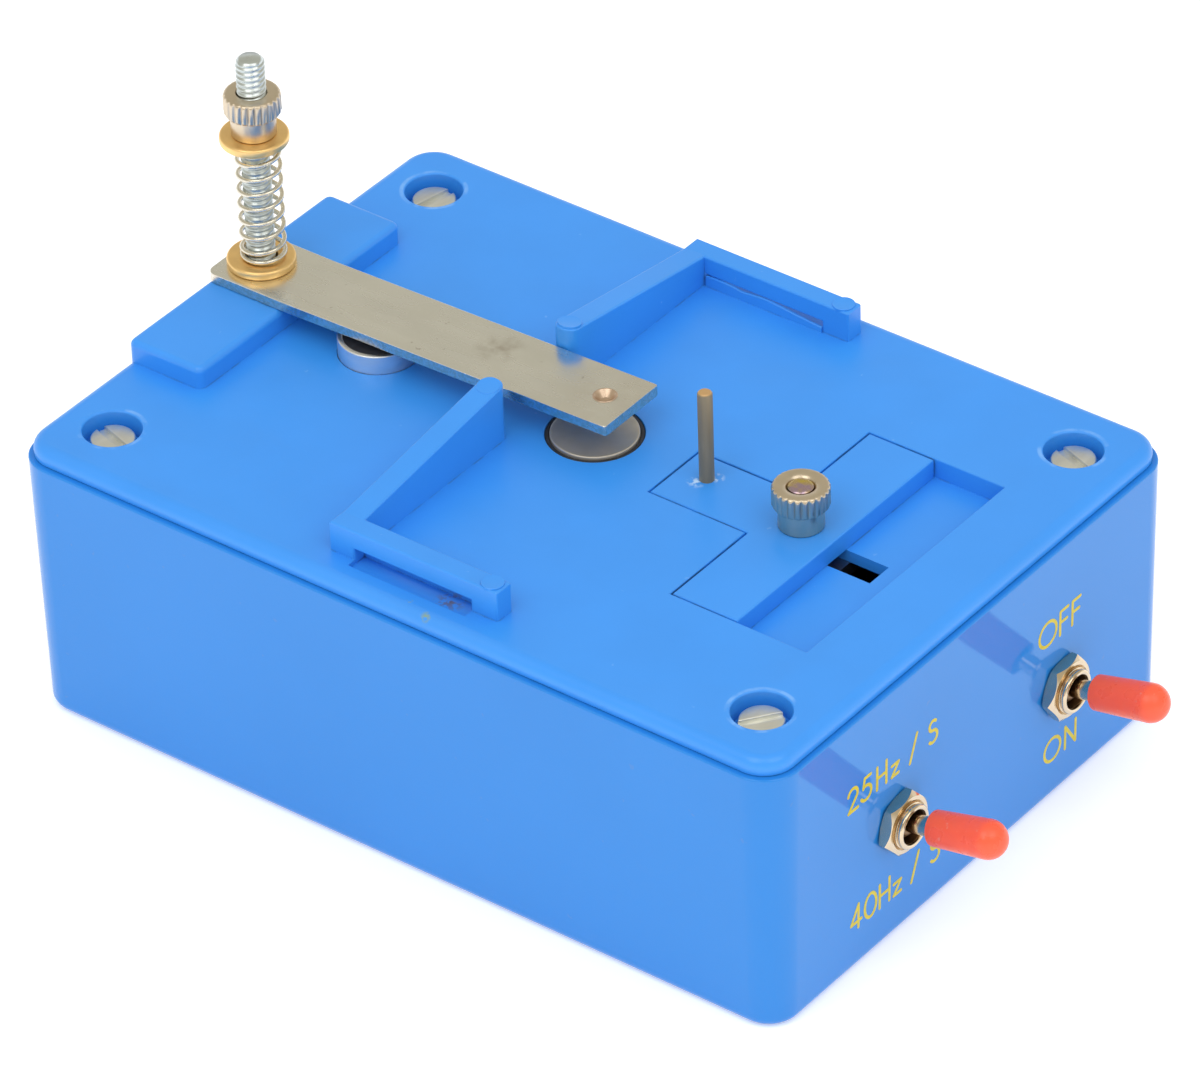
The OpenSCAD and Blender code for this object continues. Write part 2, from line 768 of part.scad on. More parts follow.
module thumb_nut_shape(hole) {
    difference() {
        union() {
            cylinder(d = nut_collar_d, h = nut_collar_h + over);
            translate([0, 0, nut_collar_h])
                intersection() {
                    linear_extrude(nut_grip_h)
                        tooth_outline();
                    union() {
                        cylinder(d1 = nut_grip_d - 2 * tooth_chamfer,
                            d2 = nut_grip_d + 2 * over, h = tooth_chamfer + over);
                        translate([0, 0, tooth_chamfer + over])
                            cylinder(d = nut_grip_d + 2 * over, h = nut_grip_h);
                    }
                }
        }
        translate([0, 0, -over])
            cylinder(d = hole, h = nut_collar_h + nut_grip_h + 2 * over);
    }
}

module thumb_nut() {
    color("#b9ada0")
        translate([stud_x, arm_y, spring_head + washer_t + face_gap])
            thumb_nut_shape(stud_d + 2 * fit_gap);
}

// Electromagnet: a steel pot with a core, a wound bobbin and a resin seal
pot_top = lid_top + pot_rise;
pot_bottom = pot_top - pot_h;
pot_inner_d = pot_d - 2 * pot_wall;
bobbin_top = pot_top - potting_sink - potting_t;
bobbin_bottom = pot_bottom + pot_base_t + face_gap;
bobbin_d = pot_inner_d - 2 * fit_gap;
bobbin_tube_d = core_d + 2 * fit_gap + 2 * bobbin_t;
lead_hole_d = lead_d + 2 * shank_gap;
lead_hole_off = (bobbin_d / 2 + core_d / 2) / 2;

module magnet_pot() {
    color("#9aa0a4")
        translate([-magnet_x, 0, pot_bottom])
            difference() {
                cylinder(d = pot_d, h = pot_h);
                translate([0, 0, pot_base_t])
                    cylinder(d = pot_inner_d, h = pot_h);
                for (sy = [-1, 1])
                    translate([0, sy * lead_hole_off, -over])
                        cylinder(d = lead_hole_d, h = pot_base_t + 2 * over);
            }
}

module magnet_core() {
    color("#8d9093")
        translate([-magnet_x, 0, pot_bottom + pot_base_t])
            cylinder(d = core_d, h = pot_h - pot_base_t - potting_sink);
}

module coil_bobbin() {
    color("#e8e4d6")
        translate([-magnet_x, 0, bobbin_bottom])
            difference() {
                union() {
                    cylinder(d = bobbin_tube_d, h = bobbin_top - bobbin_bottom);
                    cylinder(d = bobbin_d, h = bobbin_t);
                    translate([0, 0, bobbin_top - bobbin_bottom - bobbin_t])
                        cylinder(d = bobbin_d, h = bobbin_t);
                }
                translate([0, 0, -over])
                    cylinder(d = core_d + 2 * fit_gap, h = pot_h);
            }
}

module coil_winding() {
    color("#b5652b")
        translate([-magnet_x, 0, bobbin_bottom + bobbin_t])
            difference() {
                cylinder(d = bobbin_d - bobbin_t, h = bobbin_top - bobbin_bottom - 2 * bobbin_t);
                translate([0, 0, -over])
                    cylinder(d = bobbin_tube_d, h = pot_h);
            }
}

module magnet_potting() {
    color("#15161a")
        translate([-magnet_x, 0, bobbin_top])
            difference() {
                cylinder(d = pot_inner_d - 2 * fit_gap, h = potting_t);
                translate([0, 0, -over])
                    cylinder(d = core_d + 2 * fit_gap, h = potting_t + 2 * over);
            }
}

// Anvil: a steel disc on a threaded stem, in a black ring, held by a nut under the lid
anvil_nut_af = 7;
anvil_nut_t = 3.2;

module anvil() {
    color("#8f8c85")
        translate([-anvil_x, anvil_y, lid_top + anvil_rise - anvil_t])
            union() {
                cylinder(d = anvil_d, h = anvil_t);
                translate([0, 0, plug_bottom - anvil_stem_out - lid_top - anvil_rise + anvil_t])
                    cylinder(d = anvil_stem_d, h = lid_top + anvil_rise - plug_bottom
                        + anvil_stem_out - anvil_t / 2);
            }
}

module anvil_ring() {
    color("#111214")
        translate([-anvil_x, anvil_y, lid_top + anvil_rise - anvil_t])
            difference() {
                cylinder(d = anvil_ring_d, h = anvil_t - anvil_rise - anvil_ring_sink);
                translate([0, 0, -over])
                    cylinder(d = anvil_d + 2 * fit_gap, h = anvil_t + 2 * over);
            }
}

module anvil_nut() {
    color("#b8b6a4")
        translate([-anvil_x, anvil_y, plug_bottom - anvil_nut_t])
            difference() {
                cylinder(d = anvil_nut_af / cos(30), h = anvil_nut_t, $fn = 6);
                translate([0, 0, -over])
                    cylinder(d = anvil_stem_d + 2 * fit_gap, h = anvil_nut_t + 2 * over);
            }
}

// Disc slide: a T-shaped tongue with the spindle, clamped through the slot in the lid
module disc_slide() {
    color("#3b97f5")
        translate([0, slide_y, recess_floor + face_gap])
            difference() {
                linear_extrude(recess_depth - face_gap)
                    t_outline(bar_len, slide_gap);
                translate([spindle_x, spindle_off, -over])
                    cylinder(d = spindle_root_d + 2 * fit_gap, h = recess_depth + 2 * over);
                translate([clamp_x, 0, -over])
                    cylinder(d = clamp_screw_d + 2 * fit_gap, h = recess_depth + 2 * over);
            }
}

spindle_tip = 0.3;
spindle_root_d = spindle_d + 2 * shank_gap;

module disc_spindle() {
    color("#6e655a")
        translate([spindle_x, slide_y + spindle_off, 0])
            rotate_extrude()
                polygon([[0, recess_floor + face_gap],
                    [spindle_root_d / 2, recess_floor + face_gap],
                    [spindle_root_d / 2, lid_top],
                    [spindle_d / 2, lid_top],
                    [spindle_d / 2, lid_top + spindle_h - spindle_tip],
                    [spindle_d / 2 - spindle_tip, lid_top + spindle_h],
                    [0, lid_top + spindle_h]]);
}

clamp_plate_top = plug_bottom - face_gap;
clamp_head_af = 7;
clamp_head_h = 2.8;
clamp_nut_base = lid_top + face_gap;
clamp_screw_top = clamp_nut_base + nut_collar_h + nut_grip_h;

module clamp_screw() {
    color("#b7a25e")
        translate([clamp_x, slide_y, clamp_plate_top - clamp_plate_t])
            union() {
                cylinder(d = clamp_screw_d, h = clamp_screw_top - clamp_plate_top + clamp_plate_t);
                translate([0, 0, -clamp_head_h])
                    cylinder(d = clamp_head_af / cos(30), h = clamp_head_h, $fn = 6);
            }
}

module clamp_plate() {
    color("#9aa0a4")
        translate([clamp_x, slide_y, clamp_plate_top - clamp_plate_t])
            difference() {
                translate([-clamp_plate_w / 2, -clamp_plate_w / 2, 0])
                    cube([clamp_plate_w, clamp_plate_w, clamp_plate_t]);
                translate([0, 0, -over])
                    cylinder(d = clamp_screw_d + 2 * fit_gap, h = clamp_plate_t + 2 * over);
            }
}

module clamp_nut() {
    color("#b9ada0")
        translate([clamp_x, slide_y, clamp_nut_base])
            thumb_nut_shape(clamp_screw_d + 2 * fit_gap);
}

// Toggle switches in the end wall; each entry holds y, z and the turn of the nut
switches = [[power_switch_y, power_switch_z, power_nut_turn],
    [-speed_switch_y, speed_switch_z, speed_nut_turn]];
wall_inside = case_len / 2 - wall_t;
hex_r = hex_af / 2 / cos(30);
function face_x(s) = case_len / 2 + wall_draft * (s[1] + hex_r) / case_h + face_gap;
function bush_end(s) = face_x(s) + hex_t + bush_out;
tail_len = 4.3;
tail_d = 1.8;
ball_d = bush_bore_d - 4 * fit_gap;
switch_cavity_d = bush_bore_d;

module facing_out(s, x) {
    translate([x, s[0], s[1]])
        rotate([0, 90, 0])
            children();
}

module switch_bush(s) {
    color("#c9bfae")
        difference() {
            union() {
                facing_out(s, wall_inside)
                    cylinder(d = bush_d, h = bush_end(s) - wall_inside);
                translate([wall_inside - bush_flange_t, s[0] - switch_w / 2, s[1] - switch_h / 2])
                    cube([bush_flange_t, switch_w, switch_h]);
            }
            facing_out(s, wall_inside - bush_flange_t - over)
                cylinder(d = bush_bore_d, h = bush_end(s) - wall_inside + bush_flange_t + 2 * over);
        }
}

module switch_body(s) {
    color("#23242a")
        difference() {
            translate([wall_inside - bush_flange_t - switch_depth, s[0] - switch_w / 2,
                s[1] - switch_h / 2])
                cube([switch_depth, switch_w, switch_h]);
            facing_out(s, wall_inside - bush_flange_t - tail_len)
                cylinder(d = switch_cavity_d, h = tail_len + over);
        }
}

module switch_tags(s) {
    color("#c9c6b8")
        for (i = [-1 : 1])
            translate([wall_inside - bush_flange_t - switch_depth - tag_len,
                s[0] - tag_w / 2, s[1] + i * tag_pitch - tag_t / 2])
                cube([tag_len, tag_w, tag_t]);
}

module at_lever(s) {
    facing_out(s, face_x(s))
        rotate([0, -lever_tilt, 0])
            children();
}

lever_in_cap = 8.5;

module switch_lever(s) {
    color("#c9bfae")
        at_lever(s)
            union() {
                cylinder(d = lever_d, h = cap_start + lever_in_cap);
                sphere(d = ball_d);
                translate([0, 0, -tail_len])
                    cylinder(d = tail_d, h = tail_len);
            }
}

module lever_cap(s) {
    color("#ef5240")
        at_lever(s)
            translate([0, 0, cap_start])
                difference() {
                    rotate_extrude() {
                        polygon([[0, 0], [cap_small_d / 2, 0],
                            [cap_big_d / 2, cap_len - cap_big_d / 2],
                            [0, cap_len - cap_big_d / 2]]);
                        intersection() {
                            translate([0, cap_len - cap_big_d / 2])
                                circle(d = cap_big_d);
                            square([cap_big_d, cap_len]);
                        }
                    }
                    translate([0, 0, -over])
                        cylinder(d = lever_d + 2 * fit_gap, h = lever_in_cap + fit_gap + over);
                }
}

module switch_nuts() {
    color("#c9bfae")
        for (s = switches)
            facing_out(s, face_x(s))
                difference() {
                    rotate([0, 0, -s[2]])
                        cylinder(r = hex_r, h = hex_t, $fn = 6);
                    translate([0, 0, -over])
                        cylinder(d = bush_d + 2 * fit_gap, h = hex_t + 2 * over);
                }
}

// Sockets in the back wall, drawn along Z and turned to face back
socket_x = socket_inset - case_len / 2;
socket_face = wall_draft * (socket_z + socket_head_d / 2) / case_h + face_gap;
socket_neck_in = wall_t + socket_face + socket_nut_t + over;
sleeve_end_t = 2;
sleeve_len = socket_bore_len + sleeve_end_t;

module facing_back(x) {
    translate([x, case_wid / 2 + socket_face, socket_z])
        rotate([-90, 0, 0])
            children();
}

module socket_body(x, shade) {
    color(shade)
        facing_back(x)
            difference() {
                union() {
                    cylinder(d = socket_head_d, h = socket_head_h);
                    translate([0, 0, -socket_neck_in])
                        cylinder(d = socket_neck_d, h = socket_neck_in);
                }
                translate([0, 0, -socket_neck_in - over])
                    cylinder(d = sleeve_d + 2 * fit_gap,
                        h = socket_neck_in + socket_head_h + 2 * over);
            }
}

module red_socket() {
    socket_body(socket_x, "#d23a30");
}

module black_socket() {
    socket_body(socket_x + socket_pitch, "#1d1d1f");
}

sleeve_top = socket_head_h - face_gap;

module socket_sleeves() {
    color("#c9bfae")
        for (i = [0, 1])
            facing_back(socket_x + i * socket_pitch)
                difference() {
                    translate([0, 0, sleeve_top - sleeve_len])
                        cylinder(d = sleeve_d, h = sleeve_len);
                    translate([0, 0, sleeve_top - socket_bore_len])
                        cylinder(d = socket_bore_d, h = socket_bore_len + over);
                }
}

module socket_nuts() {
    color("#b8b6a4")
        for (i = [0, 1])
            facing_back(socket_x + i * socket_pitch)
                translate([0, 0, -wall_t - socket_face - socket_nut_t - face_gap])
                    difference() {
                        cylinder(d = socket_nut_af / cos(30), h = socket_nut_t, $fn = 6);
                        translate([0, 0, -over])
                            cylinder(d = socket_neck_d + 2 * fit_gap, h = socket_nut_t + 2 * over);
                    }
}

// Circuit: a board on four posts with the timing and drive parts
board_screw_len = 4;
board_head_d = 4.7;
board_head_h = 1.5;
board_bottom = floor_t + board_post_h;
board_top = board_bottom + board_t;
board_left = board_x - board_len / 2;
board_right = board_x + board_len / 2;

module board_post_places() {
    for (sx = [-1, 1], sy = [-1, 1])
        translate([board_x + sx * (board_len / 2 - board_screw_inset),
            sy * (board_wid / 2 - board_screw_inset), floor_t])
            children();
}

module circuit_board() {
    color("#2c6e3f")
        difference() {
            translate([board_left, -board_wid / 2, board_bottom])
                cube([board_len, board_wid, board_t]);
            board_post_places()
                cylinder(d = board_screw_d + 2 * shank_gap, h = board_top + over);
        }
}

module board_screws() {
    color("#b8b6a4")
        board_post_places()
            translate([0, 0, board_post_h + board_t])
                slotted_screw(board_screw_d, board_screw_len + board_t - fit_gap,
                    board_head_d, board_head_h);
}

chip_size = [9.6, 6.4, 3.4];
capacitor_size = [8, 12];
transistor_size = [10, 4.5, 15];
trimmer_size = [6.8, 6.8, 5];
resistor_size = [6.5, 2.4];
// Places on the board, as shares of its length and width from its middle
chip_share = [-0.05, 0.05];
capacitor_share = [-0.3, 0.22];
transistor_share = [-0.22, -0.22];
trimmer_shares = [[0.2, 0.16], [0.2, -0.16]];
resistor_shares = [[0, -0.16], [0, -0.26], [0, 0.24], [0.02, 0.34]];

module on_board(share) {
    translate([board_x + share[0] * board_len, share[1] * board_wid, board_top])
        children();
}

module timer_chip() {
    color("#1b1c20")
        on_board(chip_share)
            translate([-chip_size[0] / 2, -chip_size[1] / 2, 0])
                cube(chip_size);
}

module drive_transistor() {
    color("#1b1c20")
        on_board(transistor_share)
            translate([-transistor_size[0] / 2, -transistor_size[1] / 2, 0])
                cube(transistor_size);
}

module smoothing_capacitor() {
    color("#22304f")
        on_board(capacitor_share)
            cylinder(d = capacitor_size[0], h = capacitor_size[1]);
}

module rate_trimmers() {
    color("#2b62b8")
        for (share = trimmer_shares)
            on_board(share)
                difference() {
                    translate([-trimmer_size[0] / 2, -trimmer_size[1] / 2, 0])
                        cube(trimmer_size);
                    translate([0, 0, trimmer_size[2]])
                        cube([trimmer_size[0] / 2, head_slot_w, head_slot_w], center = true);
                }
}

module resistors() {
    color("#cdb98c")
        for (share = resistor_shares)
            on_board(share)
                translate([-resistor_size[0] / 2, 0, resistor_size[1] / 2])
                    rotate([0, 90, 0])
                        cylinder(d = resistor_size[1], h = resistor_size[0]);
}

// Leads: each leaves its tag straight, bends once and drops onto the board
lead_steps = 16;
lead_sides = 8;
lead_pull = 9;
lead_row = 3;
lead_gap = 0.1;
up = [0, 0, 1];
function bend(a, da, b, db, u) =
    pow(1 - u, 3) * a + 3 * u * pow(1 - u, 2) * (a + lead_pull * da)
        + 3 * u * u * (1 - u) * (b + lead_pull * db) + pow(u, 3) * b;

module lead(a, da, b, db) {
    path = [for (i = [0 : lead_steps])
        bend(a + lead_gap * da, da, b + lead_gap * db, db, i / lead_steps)];
    side = unit(cross(b - a, up));
    tube(path, [for (p = path) side], lead_d / 2, lead_sides);
}

function pad(x, y) = [x, y, board_top];

module supply_leads() {
    colors = ["#c22a22", "#1d1d1f"];
    for (i = [0, 1])
        color(colors[i])
            lead([socket_x + i * socket_pitch,
                    case_wid / 2 + socket_face + sleeve_top - sleeve_len, socket_z],
                [0, -1, 0], pad(board_left + lead_row, (4 - i) * lead_row), up);
}

module coil_leads() {
    color("#e0d04a")
        for (sy = [-1, 1])
            lead([-magnet_x, sy * lead_hole_off, bobbin_bottom], -up,
                pad(board_left + lead_row, -2 * lead_row + sy * lead_row), up);
}

module switch_leads(s, tags) {
    inward = s[0] > 0 ? -1 : 1;
    for (i = tags)
        lead([wall_inside - bush_flange_t - switch_depth - tag_len, s[0],
                s[1] + i * tag_pitch],
            [-1, 0, 0], pad(board_right - lead_row * (2 + i), s[0] + inward * (2 + i) * lead_row), up);
}

module power_switch_leads() {
    color("#c22a22")
        switch_leads(switches[0], [0, 1]);
}

module speed_switch_leads() {
    color("#3f7d4a")
        switch_leads(switches[1], [-1, 0, 1]);
}

base_case();
lid();
lid_screws();
arm_stud();
vibrating_arm();
striker();
lower_washer();
arm_spring();
upper_washer();
thumb_nut();
magnet_pot();
magnet_core();
coil_bobbin();
coil_winding();
magnet_potting();
anvil();
anvil_ring();
anvil_nut();
disc_slide();
disc_spindle();
clamp_screw();
clamp_plate();
clamp_nut();
switch_body(switches[0]);  // power_switch_body
switch_bush(switches[0]);  // power_switch_bush
switch_tags(switches[0]);  // power_switch_tags
switch_lever(switches[0]);  // power_lever
lever_cap(switches[0]);  // power_lever_cap
switch_body(switches[1]);  // speed_switch_body
switch_bush(switches[1]);  // speed_switch_bush
switch_tags(switches[1]);  // speed_switch_tags
switch_lever(switches[1]);  // speed_lever
lever_cap(switches[1]);  // speed_lever_cap
switch_nuts();
red_socket();
black_socket();
socket_sleeves();
socket_nuts();
circuit_board();
timer_chip();
drive_transistor();
smoothing_capacitor();
rate_trimmers();
resistors();
board_screws();
supply_leads();
coil_leads();
power_switch_leads();
speed_switch_leads();
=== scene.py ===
import math

import bmesh
import bpy
from mathutils import Matrix, Vector
from mathutils.geometry import tessellate_polygon


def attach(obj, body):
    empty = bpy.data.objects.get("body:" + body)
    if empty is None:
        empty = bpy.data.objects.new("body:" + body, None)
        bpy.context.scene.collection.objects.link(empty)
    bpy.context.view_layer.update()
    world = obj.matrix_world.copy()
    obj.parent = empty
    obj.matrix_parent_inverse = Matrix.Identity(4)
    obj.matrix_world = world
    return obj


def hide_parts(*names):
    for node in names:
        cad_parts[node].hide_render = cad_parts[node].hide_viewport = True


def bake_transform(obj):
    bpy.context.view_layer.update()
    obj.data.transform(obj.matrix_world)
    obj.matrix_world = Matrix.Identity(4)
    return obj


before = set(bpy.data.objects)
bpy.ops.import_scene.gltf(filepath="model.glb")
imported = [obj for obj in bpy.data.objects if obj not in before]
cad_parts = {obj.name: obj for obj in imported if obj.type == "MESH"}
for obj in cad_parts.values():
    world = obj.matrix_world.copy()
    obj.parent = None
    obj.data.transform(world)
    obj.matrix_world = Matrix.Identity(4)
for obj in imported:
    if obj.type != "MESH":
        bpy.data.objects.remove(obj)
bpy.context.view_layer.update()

MM = 0.001
TURN = 2 * math.pi
SHARP = 32  # degrees between faces from which their edge is drawn sharp

# Sizes of the object in millimetres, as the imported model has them
CASE_X, CASE_Y, CASE_H, DRAFT = 60.0, 42.5, 39.6, 0.75
WALL, FLOOR, CORNER, FOOT = 2.2, 2.4, 4.5, 1.6
LID_TOP, PLUG_BOTTOM, LID_EDGE = 42.1, 37.5, 1.6
SEAT_TOP, SEAT_LEFT, SEAT_RIGHT, SEAT_Y, SEAT_WID = 45.3, -59.95, -47.7, 0.5, 41.8
SCREW_X, SCREW_Y, WELL_R, HEAD_R, HEAD_Z, HEAD_H = 51.8, 33.5, 3.9, 2.95, 39.0, 1.7
ARM_LEFT, ARM_RIGHT, ARM_Y, ARM_WID, ARM_T, ARM_BEND, ARM_YAW = -60.0, 5.2, 1.7, 11.4, 1.6, 1.4, 0.4
STUD_X, STUD_TOP, STUD_LEN, STUD_R, PITCH = -55.25, 78.8, 40.0, 1.95, 0.8
WASHER_R, WASHER_BORE, WASHER_T = 4.6, 2.2, 1.3
SPRING_FOOT, SPRING_HEAD, SPRING_R, WIRE_R = 48.2, 66.0, 2.825, 0.325
STRIKER_X, STRIKER_R, PUNCH_R, STRIKER_LOW = 0.95, 1.65, 0.95, 44.64
MAGNET_X, POT_R, POT_TOP, POT_H, POT_WALL = -34.5, 5.45, 44.8, 24.0, 0.7
ANVIL_X, ANVIL_Y, ANVIL_R, ANVIL_TOP, ANVIL_T, RING_R = -0.4, 1.4, 5.85, 42.4, 2.2, 6.45
GUIDE_X, GUIDE_Y, GUIDE_REACH, GUIDE_LEN, FRONT_END, BACK_END = -12.3, 0.75, 38.65, 26.6, -5.5, 8.02
SIDE_T, SLOT_WALL_T, LOW_H, HIGH_H = 3.4, 3.0, 4.4, 8.5
TAPE_X0, TAPE_X1, TAPE_H, TAPE_LIP, LEAD_DEPTH, LEAD_OUT = -8.5, 10.1, 1.6, 1.0, 0.7, 1.3
SLIDE_Y, TONGUE_X, TONGUE_LEN, TONGUE_HALF = 0.5, 12.8, 15.4, 5.45
BAR_LEN, BAR_RECESS, BAR_HALF, RECESS_Z, GAP = 10.5, 21.1, 21.25, 39.2, 0.15
CLAMP_X, SLOT_X0, SLOT_X1, SLOT_HALF = 33.0, 30.8, 45.05, 2.05
SPINDLE_X, SPINDLE_Y, SPINDLE_R, SPINDLE_TOP = 17.4, 1.5, 1.0, 55.7
NUT_COLLAR_R, NUT_COLLAR_H, NUT_GRIP_R, NUT_GRIP_H, NUT_TEETH = 3.0, 2.9, 3.8, 3.3, 24
SWITCHES = {"power": (18.4, 17.6, 26), "speed": (-17.2, 18.5, 18)}
HEX_AF, HEX_T, BUSH_R, BUSH_BORE, BUSH_OUT, BUSH_IN = 8.0, 1.7, 3.1, 2.4, 1.0, 57.8
LEVER_R, LEVER_TILT, CAP_START, CAP_LEN, CAP_R0, CAP_R1 = 1.3, 13, 5.6, 11.1, 2.35, 2.6
SOCKETS, SOCKET_Z, SOCKET_R, SOCKET_HEAD, NECK_R = (-40.0, -21.0), 20.0, 5.5, 4.0, 3.8
SOCKET_FACE, SLEEVE_R, SOCKET_BORE, SLEEVE_LEN, BORE_LEN = 0.533, 2.8, 2.0, 20.0, 18.0
# The four corners, each with the way its screw's slot lies in degrees
SCREW_TURNS = {(-1, -1): 163, (-1, 1): 78, (1, -1): 54, (1, 1): 161}


def face_x(z):
    """Where the end wall's nuts rest, at height z."""
    return CASE_X + DRAFT * (z + HEX_AF / 2 / math.cos(math.radians(30))) / CASE_H + 0.05


def wall_x(z):
    """The end wall's outer face at height z."""
    return CASE_X + DRAFT * (z - FOOT) / (CASE_H - FOOT)


def arm_z(x):
    """The underside of the arm at x."""
    return SEAT_TOP + max(0.0, x - SEAT_RIGHT) * math.tan(math.radians(ARM_BEND))


# Mesh building, in millimetres
class Build:
    """Vertices and faces of one piece."""

    def __init__(self):
        self.verts, self.faces = [], []

    def loop(self, points):
        start = len(self.verts)
        self.verts.extend(Vector(p) for p in points)
        return list(range(start, start + len(points)))

    def wall(self, a, b, closed=True):
        n = len(a)
        for i in range(n if closed else n - 1):
            j = (i + 1) % n
            self.faces.append((a[i], a[j], b[j], b[i]))

    def walls(self, rows):
        for a, b in zip(rows, rows[1:]):
            self.wall(a, b)

    def cap(self, outer, *holes):
        if not holes:
            self.faces.append(tuple(outer))
            return
        loops = [outer, *holes]
        flat = [i for one in loops for i in one]
        for tri in tessellate_polygon([[self.verts[i] for i in one] for one in loops]):
            self.faces.append(tuple(flat[k] for k in tri))

    def solid(self, rows):
        """Rows joined to one skin, its first and last closed."""
        self.walls(rows)
        self.cap(rows[0])
        self.cap(rows[-1])

    def place(self, matrix, since=0):
        for i in range(since, len(self.verts)):
            self.verts[i] = matrix @ self.verts[i]


def move(x, y, z):
    return Matrix.Translation((x, y, z))


def turn(degrees, axis):
    return Matrix.Rotation(math.radians(degrees), 4, axis)


def polar(r, i, n, x=0.0, y=0.0):
    """The point at r from x, y, i steps of n round it."""
    return x + r * math.cos(TURN * i / n), y + r * math.sin(TURN * i / n)


def circle(r, n=48, x=0.0, y=0.0):
    return [polar(r, i, n, x, y) for i in range(n)]


def bow(cx, cy, rx, ry, a0, a1, n=14):
    """Points of a piece of an ellipse, angles in degrees."""
    return [(cx + rx * math.cos(math.radians(a0 + (a1 - a0) * i / n)),
             cy + ry * math.sin(math.radians(a0 + (a1 - a0) * i / n))) for i in range(n + 1)]


def arc(cx, cy, r, a0, a1, n=6):
    """Points of a piece of a circle, angles in degrees."""
    return bow(cx, cy, r, r, a0, a1, n)


def rounded(hx, hy, r, x=0.0, y=0.0, n=10):
    """Rounded rectangle, counter-clockwise."""
    out = []
    cx, cy = hx - r, hy - r
    for cx, cy, a0 in ((cx, cy, 0), (-cx, cy, 90), (-cx, -cy, 180), (cx, -cy, 270)):
        out += arc(x + cx, y + cy, r, a0, a0 + 90, n)
    return out


def box_outline(x0, x1, y0, y1):
    return [(x0, y0), (x1, y0), (x1, y1), (x0, y1)]


def inset(outline, d):
    """A counter-clockwise outline moved inwards by d, or outwards where d is below zero."""
    if abs(d) < 1e-9:
        return list(outline)
    out, n = [], len(outline)
    for i in range(n):
        before, here, after = outline[i - 1], outline[i], outline[(i + 1) % n]
        ax, ay = here[0] - before[0], here[1] - before[1]
        bx, by = after[0] - here[0], after[1] - here[1]
        la, lb = math.hypot(ax, ay), math.hypot(bx, by)
        nx, ny = -ay / la - by / lb, ax / la + bx / lb
        k = 2 * d / (nx * nx + ny * ny)
        out.append((here[0] + nx * k, here[1] + ny * k))
    return out


def quarter(r, n=5):
    """(inset, drop) pairs of a rounded edge, from its wall to its flat."""
    return [(r * (1 - math.cos(TURN / 4 * i / n)), r * (1 - math.sin(TURN / 4 * i / n)))
            for i in range(n + 1)]


def at(outline, z):
    if callable(z):
        return [(x, y, z(x, y)) for x, y in outline]
    return [(x, y, z) for x, y in outline]


def slab(b, outline, z0, z1, top=0.0, foot=0.0, steps=5):
    """A flat block whose top and foot edges are rounded."""
    rows = []
    if foot:
        rows += [b.loop(at(inset(outline, i), z0 + d)) for i, d in reversed(quarter(foot, steps))]
    else:
        rows.append(b.loop(at(outline, z0)))
    if top:
        rows += [b.loop(at(inset(outline, i), z1 - d)) for i, d in quarter(top, steps)]
    else:
        rows.append(b.loop(at(outline, z1)))
    b.solid(rows)


def spin(b, profile, sides=64, matrix=None, ring=False):
    """A turned piece: profile holds (radius, height) from axis to axis, or a closed ring."""
    since = len(b.verts)
    rows = []
    for r, z in profile:
        if r < 1e-6:
            rows.append(b.loop([(0, 0, z)]))
        else:
            rows.append(b.loop(at(circle(r, sides), z)))
    pairs = list(zip(rows, rows[1:]))
    if ring:
        pairs.append((rows[-1], rows[0]))
    for lo, hi in pairs:
        if len(lo) == 1 and len(hi) > 1:
            b.faces += [(lo[0], hi[i], hi[(i + 1) % sides]) for i in range(sides)]
        elif len(hi) == 1 and len(lo) > 1:
            b.faces += [(lo[i], lo[(i + 1) % sides], hi[0]) for i in range(sides)]
        elif len(lo) > 1:
            b.wall(lo, hi)
    if matrix is not None:
        b.place(matrix, since)


def tube(b, points, across, radius, sides=12):
    """A round rod along points; across holds one direction for each."""
    rows = []
    for i, p in enumerate(points):
        t = (points[min(i + 1, len(points) - 1)] - points[max(i - 1, 0)]).normalized()
        u = (across[i] - across[i].dot(t) * t).normalized()
        v = t.cross(u)
        rows.append(b.loop([p + radius * (math.cos(TURN * k / sides) * u + math.sin(TURN * k / sides) * v)
                            for k in range(sides)]))
    b.solid(rows)


def threaded(b, r, z0, z1, depth, tip, sides=36, rows_a_turn=8, pitch=PITCH):
    """A screw thread as one skin, with a chamfered tip at z1."""
    count = max(2, round((z1 - z0) / pitch * rows_a_turn))
    rows = []
    for j in range(count + 1):
        z = z0 + (z1 - z0) * j / count
        full = min(r, r - tip + (z1 - z)) if tip else r
        ring = []
        for i in range(sides):
            phase = (z / pitch - i / sides) % 1.0
            groove = depth * min(1.0, max(0.0, 1.6 * abs(2 * phase - 1) - 0.3))
            ring.append((*polar(min(full, r - groove), i, sides), z))
        rows.append(b.loop(ring))
    b.solid(rows)


